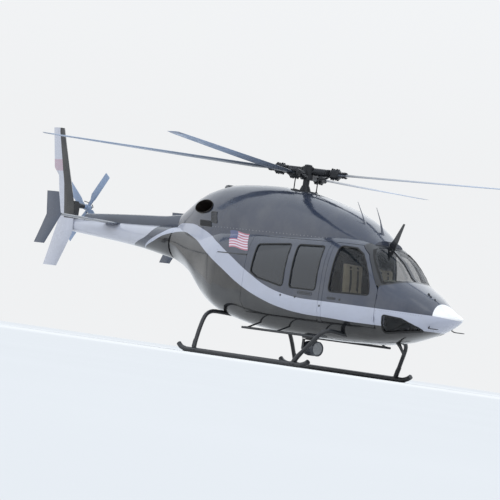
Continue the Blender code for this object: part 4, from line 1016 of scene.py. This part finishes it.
for name, side in SIDES.items():
    for node, spots in LATCHES.items():
        fitting(node + "latches_" + name, studs(spots, side, profile=LATCH_PROFILE), satin_black, node + name)
    rail = ribbon(RAIL, side, 0.016, 0.0016, closed=False)
    fitting("door_rail_" + name, rail, dark_trim, "aft_fuselage")
    pull = ribbon(HANDLE, side, 0.010, 0.0028)
    add(pull, ribbon(spaced((1.14, 1.316), (1.42, 1.316), 9), side, 0.016, 0.0050, closed=False))
    fitting("door_pull_" + name, pull, satin_black, "sliding_door_" + name)
    pull = ribbon(CREW_HANDLE, side, 0.008, 0.0026)
    add(pull, ribbon(spaced((1.88, 1.280), (2.04, 1.280), 7), side, 0.014, 0.0046, closed=False))
    fitting("crew_pull_" + name, pull, satin_black, "crew_door_" + name)
    spots = spaced((-1.27, 2.28), (-2.95, 2.24), 34) + spaced((-1.33, 0.90), (-1.33, 2.24), 22)
    spots += spaced((-3.20, 1.74), (-3.20, 2.22), 9) + spaced((-2.05, 1.10), (-2.05, 2.20), 17)
    fitting("aft_rivets_" + name, studs(spots, side), cover_slate, "aft_fuselage")
    spots = spaced((-1.20, 0.80), (2.85, 0.80), 62) + spaced((-0.80, 0.72), (2.75, 0.72), 52)
    fitting("belly_rivets_" + name, studs(spots, side), dark_trim, "lower_hull")
    spots = spaced((2.985, 1.02), (2.985, 1.58), 12) + spaced((3.06, 1.18), (3.86, 1.18), 18)
    fitting("nose_rivets_" + name, studs(spots, side), cover_slate, "nose_shell")

# %% Cowling fasteners and vents
LOUVRE = [(-1.86, 2.607), (-1.68, 2.607), (-1.603, 2.398), (-1.783, 2.412)]
MESH = [(-2.194, 2.441), (-1.809, 2.428), (-1.757, 2.328), (-2.168, 2.336)]


def slats(corners, side, count, width):
    """Bands across a four-cornered opening, each laid on the cowling."""
    top_back, top_front, low_front, low_back = [Vector(corner) for corner in corners]
    bm = bmesh.new()
    for k in range(count):
        t = (k + 0.5) / count
        start, end = top_back.lerp(low_back, t), top_front.lerp(low_front, t)
        add(bm, ribbon(spaced(start, end, 6), side, width, 0.0065, kind="cowl", closed=False))
    return bm


for name, side in SIDES.items():
    vent = slats(LOUVRE, side, 7, 0.020)
    add(vent, ribbon(rounded(LOUVRE, 0.02), side, 0.014, 0.0045, kind="cowl"))
    fitting("louvre_" + name, vent, satin_black, "engine_cowling")
    screen = slats(MESH, side, 9, 0.0060)
    across = [MESH[1], MESH[2], MESH[3], MESH[0]]
    add(screen, slats(across, side, 26, 0.0050))
    add(screen, ribbon(rounded(MESH, 0.015), side, 0.012, 0.0040, kind="cowl"))
    fitting("intake_mesh_" + name, screen, satin_black, "engine_cowling")
    for node, start, end in (("engine_cowling", -3.10, -0.90), ("mast_cowling", -0.82, 0.58),
                             ("front_fairing", 0.66, 2.05)):
        spots = spaced((start, 2.335), (end, 2.335), int((end - start) / 0.085))
        fitting(f"{node}_fasteners_{name}", studs(spots, side, 0.0065, 0.0022, "cowl"), bright_steel, node)

# %% [markdown]
# ## Rotor head
# The head is where the eye goes first: forged grips, bolts, rubber boots and pitch links, all black and
# a little oily. One arm is built along +X and then turned four times about the mast, as the real head
# is four copies of one set of forgings, and it rides with the rotor so that it spins with the blades.

# %% Rotor head fittings
HUB_Z = 3.49
REST_HEADING = 23.9
YOKE_STEP = 0.040
BOLT = [(0.026, 0.0), (0.026, 0.005), (0.018, 0.006), (0.018, 0.018), (0.015, 0.021), (0.006, 0.021)]


def arm(level):
    """Bolts, boots, pitch horn and blade plates of one arm, which points along +X from the mast."""
    bm = bmesh.new()
    top, low = level + 0.086, level - 0.086
    for reach in (0.500, 0.590):
        for y in (-0.045, 0.045):
            add(bm, turned(BOLT, 6), aimed((reach, y, top - 0.002), (0, 0, 1)))
            add(bm, turned(BOLT, 6), aimed((reach, y, low + 0.002), (0, 0, -1)))
    boot = [(0.060, -0.03), (0.074, -0.026), (0.066, -0.016), (0.076, -0.008), (0.066, 0.0), (0.076, 0.008),
            (0.066, 0.016), (0.074, 0.026), (0.060, 0.03)]
    add(bm, turned(boot, 20), aimed((0.415, 0, level + 0.002), (1, 0, 0)))
    horn = [(0.46, 0.090, level - 0.02), (0.40, 0.125, level - 0.03), (0.30, 0.120, -0.055),
            (0.205 * cos(radians(22)), 0.205 * sin(radians(22)), -0.066)]
    add(bm, swept(horn, [0.024, 0.022, 0.018, 0.016]))
    eye = [(0.010, -0.018), (0.021, -0.014), (0.021, 0.014), (0.010, 0.018)]
    add(bm, turned(eye, 14), aimed(horn[-1], (0, 1, 0)))
    for z_from, z_to in ((0.026, 0.036), (-0.036, -0.026)):
        add(bm, block((0.625, -0.066, level + z_from), (0.775, 0.066, level + z_to), 0.004))
    for reach, y in ((0.690, 0.0), (0.745, 0.036), (0.745, -0.036)):
        add(bm, turned(BOLT, 6), aimed((reach, y, level + 0.036), (0, 0, 1)))
        add(bm, turned(BOLT, 6), aimed((reach, y, level - 0.036), (0, 0, -1)))
    return bm


def make_head():
    """Four arms, the mast nut with its ring of bolts, and the collars of the swashplate."""
    bm = bmesh.new()
    for k in range(4):
        add(bm, arm(YOKE_STEP if k % 2 == 0 else -YOKE_STEP), Matrix.Rotation(k * pi / 2, 4, "Z"))
    cap = [(0.098, 0.113), (0.098, 0.122), (0.078, 0.126), (0.072, 0.131), (0.072, 0.150), (0.060, 0.160),
           (0.030, 0.165), (0.012, 0.166)]
    add(bm, turned(cap, 28))
    for k in range(8):
        turn = 2 * pi * k / 8
        add(bm, turned([(0.010, 0.0), (0.010, 0.009), (0.005, 0.011)], 6),
            aimed((0.088 * cos(turn), 0.088 * sin(turn), 0.122), (0, 0, 1)))
    ring = [(0.150, -0.325), (0.242, -0.330), (0.247, -0.338), (0.247, -0.362), (0.242, -0.370),
            (0.150, -0.374)]
    add(bm, turned(ring, 40))
    for k in range(4):
        turn = k * pi / 2 + radians(22)
        foot = (0.205 * cos(turn), 0.205 * sin(turn), -0.318)
        add(bm, turned([(0.010, -0.016), (0.020, -0.012), (0.020, 0.012), (0.010, 0.016)], 14),
            aimed(foot, (-sin(turn), cos(turn), 0)))
    heading = Matrix.Rotation(radians(REST_HEADING), 4, "Z")
    bmesh.ops.transform(bm, matrix=Matrix.Translation((0, 0, HUB_Z)) @ heading, verts=bm.verts)
    return fitting("head_fittings", bm, hub_metal, "rotor_hub")


head = make_head()
print("head fittings:", len(head.data.polygons), "faces")

# %% Tail rotor hub
TAIL_HUB = Vector((-6.66, 0.35, 2.51))


def make_tail_hub():
    """Domed cap, bolts and pitch links of the tail rotor."""
    bm = bmesh.new()
    add(bm, turned([(0.046, 0.080), (0.046, 0.092), (0.034, 0.100), (0.030, 0.114), (0.012, 0.118)], 20))
    for k in range(4):
        turn = radians(38 + 90 * k)
        level = -0.040 if k % 2 == 0 else 0.040
        outward = Vector((cos(turn), sin(turn), 0))
        for reach in (0.085, 0.125):
            spot = outward * reach + Vector((0, 0, level + 0.014))
            add(bm, turned([(0.011, 0), (0.011, 0.010), (0.005, 0.012)], 6), aimed(spot, (0, 0, 1)))
        across = Vector((-sin(turn), cos(turn), 0))
        add(bm, swept([outward * 0.11 + across * 0.052 + Vector((0, 0, level)),
                       outward * 0.06 + across * 0.060 + Vector((0, 0, 0.088)),
                       outward * 0.02 + Vector((0, 0, 0.096))], [0.009, 0.008, 0.008], 8))
    bmesh.ops.transform(bm, matrix=Matrix.Translation(TAIL_HUB) @ Matrix.Rotation(radians(-90), 4, "X"),
                        verts=bm.verts)
    return fitting("tail_hub_fittings", bm, hub_metal, "tail_rotor_outer")


print("tail hub:", len(make_tail_hub().data.polygons), "faces")

# %% [markdown]
# ## Landing gear fittings
# Each tube of the gear meets the next in a bolted saddle, and each skid wears on a hard shoe. They are
# short tubes a little wider than the one they hold, so they need no boolean: the tube simply runs
# through them.

# %% Saddles, shoes and treads
SKID_Y = 1.25
SHOES = [(-0.86, -0.30), (0.95, 1.55)]


def make_gear(name, side):
    """Saddles at the legs, wear shoes below, sleeves on the legs and treads on the step of one side."""
    bm = bmesh.new()
    y = side * SKID_Y
    for x in (1.66, -1.03):
        add(bm, swept([(x, y, 0.0478), (x + 0.02, y, 0.0478), (x + 0.12, y, 0.0478), (x + 0.14, y, 0.0478)],
                      [0.046, 0.0475, 0.0475, 0.046], 24))
        for step in (0.03, 0.11):
            add(bm, turned([(0.010, 0), (0.010, 0.008), (0.005, 0.010)], 6),
                aimed((x + step, y + side * 0.047, 0.050), (0, side, 0)))
    fitting("skid_saddles_" + name, bm, satin_black, "skid_" + name)
    bm = bmesh.new()
    for x_from, x_to in SHOES:
        add(bm, block((x_from, y - 0.024, 0.0006), (x_to, y + 0.024, 0.010), 0.003))
    fitting("skid_shoes_" + name, bm, hub_metal, "skid_" + name)
    bm = bmesh.new()
    for leg in ([(1.735, 0.105), (1.80, 0.21), (1.835, 0.255)],
                [(-0.980, 0.105), (-0.995, 0.19), (-1.0, 0.24)]):
        path = [(x, side * (1.25 - (z - 0.082) * 0.275), z) for x, z in leg]
        add(bm, swept(path, [0.0445, 0.0425, 0.0400], 20))
    fitting("leg_sleeves_" + name, bm, satin_black, "skid_" + name)
    bm = bmesh.new()
    for k in range(36):
        x = -0.06 + k * 0.0515
        add(bm, block((x, side * 0.905 - 0.017, 0.590), (x + 0.020, side * 0.905 + 0.017, 0.5985), 0.002))
    return fitting("step_treads_" + name, bm, rubber, "step_" + name)


for name, side in SIDES.items():
    make_gear(name, side)

# %% Searchlight fittings
LIGHT_X, LIGHT_Z = 0.70, 0.375


def make_lamp():
    """Ribs round the housing and the ringed lens in front."""
    bm = bmesh.new()
    for reach in (0.02, 0.05, 0.08, 0.11, 0.14):
        rib = [(0.122, -0.003), (0.1335, -0.002), (0.1335, 0.002), (0.122, 0.003)]
        add(bm, turned(rib, 36), aimed((LIGHT_X + reach, 0, LIGHT_Z), (1, 0, 0)))
    fitting("lamp_ribs", bm, lamp_grey, "searchlight")
    lens = [(0.1145, -0.002), (0.1145, 0.004)]
    for k in range(9, 0, -1):
        lens += [(0.0125 * k, 0.0065 if k % 2 else 0.0035)]
    bm = turned(lens, 40)
    bmesh.ops.transform(bm, matrix=aimed((LIGHT_X + 0.225, 0, LIGHT_Z), (1, 0, 0)), verts=bm.verts)
    fitting("lamp_lens", bm, lens_glass, "searchlight")


make_lamp()

# %% [markdown]
# ## Nose, roof and tail fittings
# Pitot tubes, small aerials, the beacon's collar, the exhaust's strut and the lamp on the boom's end are
# what keeps the outline from looking bare. Tubes are swept and lenses are turned, as they are in the
# workshop.

# %% Small fittings outside
def make_pitot(name, side):
    """Bent pitot tube under the nose: a foot, a mast and a forward-facing tube."""
    foot = on_skin("body", 3.97, 1.02, side)
    bm = swept([foot + Vector((-0.02, -0.01 * side, 0.0)), foot + Vector((0.01, 0.045 * side, -0.03)),
                foot + Vector((0.05, 0.055 * side, -0.035)), foot + Vector((0.20, 0.055 * side, -0.035)),
                foot + Vector((0.26, 0.055 * side, -0.035))], [0.012, 0.010, 0.0085, 0.0085, 0.006], 12)
    return fitting("pitot_" + name, bm, satin_black, "nose_cone")


def make_blade_aerial(name, spot, lean, height, length):
    """A small swept aerial on the nose top."""
    x, y, z = spot
    outline = [(x - length / 2, z - 0.012), (x + length / 2, z - 0.012),
               (x + length * 0.2 - lean, z + height), (x - length * 0.25 - lean, z + height)]
    bm = plate(outline, y - 0.006, y + 0.006, 0.003)
    add(bm, block((x - length * 0.7, y - 0.020, z - 0.014), (x + length * 0.7, y + 0.020, z - 0.004), 0.003))
    return fitting(name, bm, satin_black, "nose_shell")


for name, side in SIDES.items():
    make_pitot(name, side)
    strut = swept([(-2.20, side * 0.470, 2.585), (-2.215, side * 0.462, 2.53), (-2.235, side * 0.472, 2.46)],
                  [0.010, 0.010, 0.010], 10)
    fitting("exhaust_strut_" + name, strut, burnt_metal, "engine_cowling")
make_blade_aerial("aerial_nose_rear", (3.706, -0.12, 1.548), 0.03, 0.045, 0.07)
make_blade_aerial("aerial_nose_front", (3.845, -0.10, 1.475), 0.02, 0.035, 0.05)
cutter = plate([(2.90, 0.680), (3.02, 0.690), (3.12, 0.560), (3.165, 0.470), (3.135, 0.465), (3.02, 0.585)],
               -0.007, 0.007, 0.003)
fitting("lower_wire_cutter", cutter, satin_black, "lower_hull")
beacon = turned([(0.105, 3.108), (0.109, 3.110), (0.109, 3.117), (0.100, 3.121)], 32)
bmesh.ops.translate(beacon, vec=(-2.055, 0, 0), verts=beacon.verts)
fitting("beacon_collar", beacon, bright_steel, "beacon")
tail_lamp = turned([(0.046, -0.004), (0.046, 0.004), (0.034, 0.010), (0.028, 0.024), (0.010, 0.030)], 20)
bmesh.ops.transform(tail_lamp, matrix=aimed((-6.838, 0, 2.13), (-1, 0, 0)), verts=tail_lamp.verts)
fitting("tail_lamp", tail_lamp, lens_glass, "tail_boom")
print("outside fittings ready")

# %% [markdown]
# ## Cabin
# Through the glass one sees two crew seats, two facing benches, the instrument panel and its hood. A
# seat on the real machine is a hard shell with upholstered cushions strapped to it. Here the shell is a
# thick outline, and each cushion is a crowned form whose sides pull in between its corners. Cloth
# simulation could swell the cushions, but their shapes are simple enough to write down.

# %% Cushions
def cushion(name, size, matrix, material, node, channels=3, crown=0.35):
    """A crowned pad with sewn channels and piping, flat underneath, lying in its own x and y."""
    length, width, thick = size
    cuts = 22
    bm = bmesh.new()
    bmesh.ops.create_grid(bm, x_segments=cuts, y_segments=cuts, size=1.0)
    under = bmesh.ops.duplicate(bm, geom=list(bm.verts) + list(bm.edges) + list(bm.faces))["geom"]
    under = {item for item in under if isinstance(item, bmesh.types.BMVert)}
    rim = {vert: vert in under for vert in bm.verts}
    for vert, low in rim.items():
        u, v = vert.co.x, vert.co.y
        edge = max(abs(u), abs(v)) ** 7
        pull_u = 1 - 0.035 * (1 - v * v) * abs(u) ** 3
        pull_v = 1 - 0.035 * (1 - u * u) * abs(v) ** 3
        dome = (1 - u ** 6) * (1 - v ** 6)
        swell = (1 - u * u) * (1 - v * v)
        groove = sum(0.10 * exp(-((u - (2 * (k + 1) / (channels + 1) - 1)) * 16) ** 2)
                     for k in range(channels))
        height = 0.50 + 0.30 * dome ** 0.6 + 0.20 * crown / 0.35 * swell - groove * (1 - edge)
        corner = (u * u * v * v) ** 4
        shrink = 1 - 0.030 * corner
        vert.co = (u * length / 2 * pull_u * shrink, v * width / 2 * pull_v * shrink,
                   thick * (0.12 * (1 - dome ** 0.5) if low else height))
    edges = [edge for edge in bm.edges if edge.is_boundary]
    bmesh.ops.bridge_loops(bm, edges=edges)
    piping = []
    for k in range(64):
        turn = 2 * pi * k / 64
        reach = (abs(cos(turn)) ** 12 + abs(sin(turn)) ** 12) ** (-1 / 12)
        u, v = cos(turn) * reach, sin(turn) * reach
        piping.append(Vector((u * length / 2 * (1 - 0.030 * (1 - v * v)) * 0.992,
                              v * width / 2 * (1 - 0.030 * (1 - u * u)) * 0.992, thick * 0.50)))
    rings = []
    for k, spot in enumerate(piping):
        ahead = (piping[(k + 1) % 64] - piping[k - 1]).normalized()
        across = ahead.cross(Vector((0, 0, 1)))
        rings.append([spot + (across * cos(2 * pi * j / 8) + Vector((0, 0, 1)) * sin(2 * pi * j / 8)) * 0.005
                      for j in range(8)])
    join_rings(bm, rings, closed=True)
    bmesh.ops.transform(bm, matrix=matrix, verts=bm.verts)
    piece = fitting(name, bm, material, node, crease=180)
    return piece


SEAT_RECLINE = radians(6.5)
FLOOR_TOP = 0.8603


def seat(name, y, x_front, way, half, back_top, material, places):
    """Hard shell, pan cushions and back cushions of a seat or bench that faces along way."""
    def at(back_step, z):
        return (x_front - way * back_step, z)
    outline = [at(0.07, FLOOR_TOP), at(0.39, FLOOR_TOP), at(0.43, 1.085), at(0.515, 1.10),
               at(0.60, back_top - 0.03), at(0.575, back_top), at(0.545, back_top - 0.02),
               at(0.465, 1.155), at(0.05, 1.145), at(0.03, 1.115)]
    shell = plate(outline, y - half + 0.008, y + half - 0.008, 0.008)
    piece = fitting(name + "_shell", shell, dark_trim, name)
    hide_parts(name)
    width = 2 * half / places
    for k in range(places):
        centre = y - half + width * (k + 0.5)
        x, z = at(0.235, 1.147)
        flat = Matrix.Translation((x, centre, z)) @ Matrix.Scale(way, 4, (1, 0, 0))
        cushion(f"{name}_pan_{k + 1}", (0.40, width - 0.03, 0.095), flat, material, name)
        foot, top = Vector(at(0.462, 1.20)), Vector(at(0.545, back_top - 0.04))
        rise = top - foot
        middle = (foot + top) / 2
        lean = Matrix(((0, 0, way, 0), (0, 1, 0, 0), (1, 0, 0, 0), (0, 0, 0, 1)))
        tilt = Matrix.Rotation(-way * SEAT_RECLINE, 4, "Y")
        stand = Matrix.Translation((middle.x, centre, middle.y)) @ tilt @ lean
        cushion(f"{name}_back_{k + 1}", (rise.length - 0.03, width - 0.03, 0.085), stand, material, name, 4)
    return piece


seat("crew_seat_right", -0.37, 2.46, 1, 0.235, 1.98, seat_cloth, 1)
seat("crew_seat_left", 0.37, 2.46, 1, 0.235, 1.98, seat_cloth, 1)
seat("cabin_bench_front", 0.0, 1.16, -1, 0.58, 1.78, bench_cloth, 3)
seat("cabin_bench_rear", 0.0, -0.62, 1, 0.50, 1.78, bench_cloth, 3)

# %% Harnesses, hood, sticks and screens
def belt(path, width, thick=0.0022):
    """A flat strap through the points, wide across the machine."""
    path = [Vector(point) for point in path]
    rings = []
    for i, spot in enumerate(path):
        ahead = (path[min(i + 1, len(path) - 1)] - path[max(i - 1, 0)]).normalized()
        across = Vector((0, 1, 0))
        lift = across.cross(ahead).normalized() * thick
        rings.append([spot - across * width / 2 - lift, spot + across * width / 2 - lift,
                      spot + across * width / 2 + lift, spot - across * width / 2 + lift])
    bm = bmesh.new()
    join_rings(bm, rings)
    return bm


def laid(tree, start, way):
    """Where a strap rests on a cushion that it is pressed onto from start along way."""
    hit = tree.ray_cast(Vector(start) + MAST, Vector(way))[0]
    return hit - MAST - Vector(way) * STRAP_STANDS_OFF


def crew_harness(name, y):
    """Strap over the shell's top, down the back cushion and onto the seat cushion."""
    points, faces = [], []
    for part in ("back_1", "pan_1"):
        pad = bpy.data.objects[f"crew_seat_{name}_{part}"].data
        first = len(points)
        points += [vert.co.copy() for vert in pad.vertices]
        faces += [[first + index for index in face.vertices] for face in pad.polygons]
    tree = BVHTree.FromPolygons(points, faces)
    path = [(1.864, y, 1.90), (1.857, y, 1.955), (1.884, y, 1.982), (1.915, y, 1.963)]
    path += [laid(tree, (2.50, y, z), (-1, 0, 0)) for z in (1.88, 1.80, 1.70, 1.60, 1.50, 1.40, 1.33)]
    path += [laid(tree, (x, y, 1.60), (0, 0, -1)) for x in (2.13, 2.18, 2.23)]
    return belt(path, 0.045)


STRAP_STANDS_OFF = 0.0015
for name, side in SIDES.items():
    y = side * 0.37
    straps = crew_harness(name, y - 0.085)
    add(straps, crew_harness(name, y + 0.085))
    fitting("harness_" + name, straps, rubber, "crew_seat_" + name)
    stick = swept([(2.58, y, 0.861), (2.60, y, 1.02), (2.555, y, 1.20), (2.575, y, 1.33), (2.56, y, 1.37)],
                  [0.022, 0.014, 0.013, 0.019, 0.016], 14)
    fitting("stick_" + name, stick, satin_black, "lower_hull")
    pedals = bmesh.new()
    for offset in (-0.09, 0.09):
        add(pedals, block((2.860, y + offset - 0.035, 0.93), (2.875, y + offset + 0.035, 1.04), 0.004))
        add(pedals, swept([(2.870, y + offset, 0.95), (2.905, y + offset, 0.856)], [0.010, 0.010], 10))
    fitting("pedals_" + name, pedals, cast_metal, "lower_hull")

HOOD_ROWS = [(2.935, 0.52, 1.732), (3.00, 0.50, 1.740), (3.12, 0.44, 1.722), (3.215, 0.34, 1.702),
             (3.24, 0.30, 1.690)]


def make_hood():
    """Pale hood over the instruments: a crowned top whose rim turns down to the panel."""
    bm = bmesh.new()
    rings = []
    for x, half, top in HOOD_ROWS:
        ring = [Vector((x, half * sin(turn), top - 0.020 + 0.020 * cos(turn)))
                for turn in [radians(a) for a in range(-90, 91, 12)]]
        foot_x = max(min(x, 3.20), 3.00)
        ring += [Vector((foot_x, half * 0.80, 1.56)), Vector((foot_x, -half * 0.80, 1.56))]
        rings.append(ring)
    join_rings(bm, rings)
    return fitting("instrument_hood", bm, pale_plastic, "instrument_panel", crease=50)


make_hood()
for name, y in (("left", 0.255), ("right", -0.255), ("middle", 0.0)):
    half = 0.125 if name != "middle" else 0.085
    lean = Matrix.Translation((2.992, y, 1.410)) @ Matrix.Rotation(radians(-7.5), 4, "Y")
    bezel = block((-0.010, -half, -0.095), (0.008, half, 0.095), 0.004)
    bmesh.ops.transform(bezel, matrix=lean, verts=bezel.verts)
    fitting(f"bezel_{name}", bezel, satin_black, "instrument_panel")
    screen = block((-0.0135, -half + 0.016, -0.078), (-0.008, half - 0.016, 0.078), 0.002)
    bmesh.ops.transform(screen, matrix=lean, verts=screen.verts)
    fitting(f"screen_{name}", screen, screen_glass, "instrument_panel")
print("cabin fittings ready")
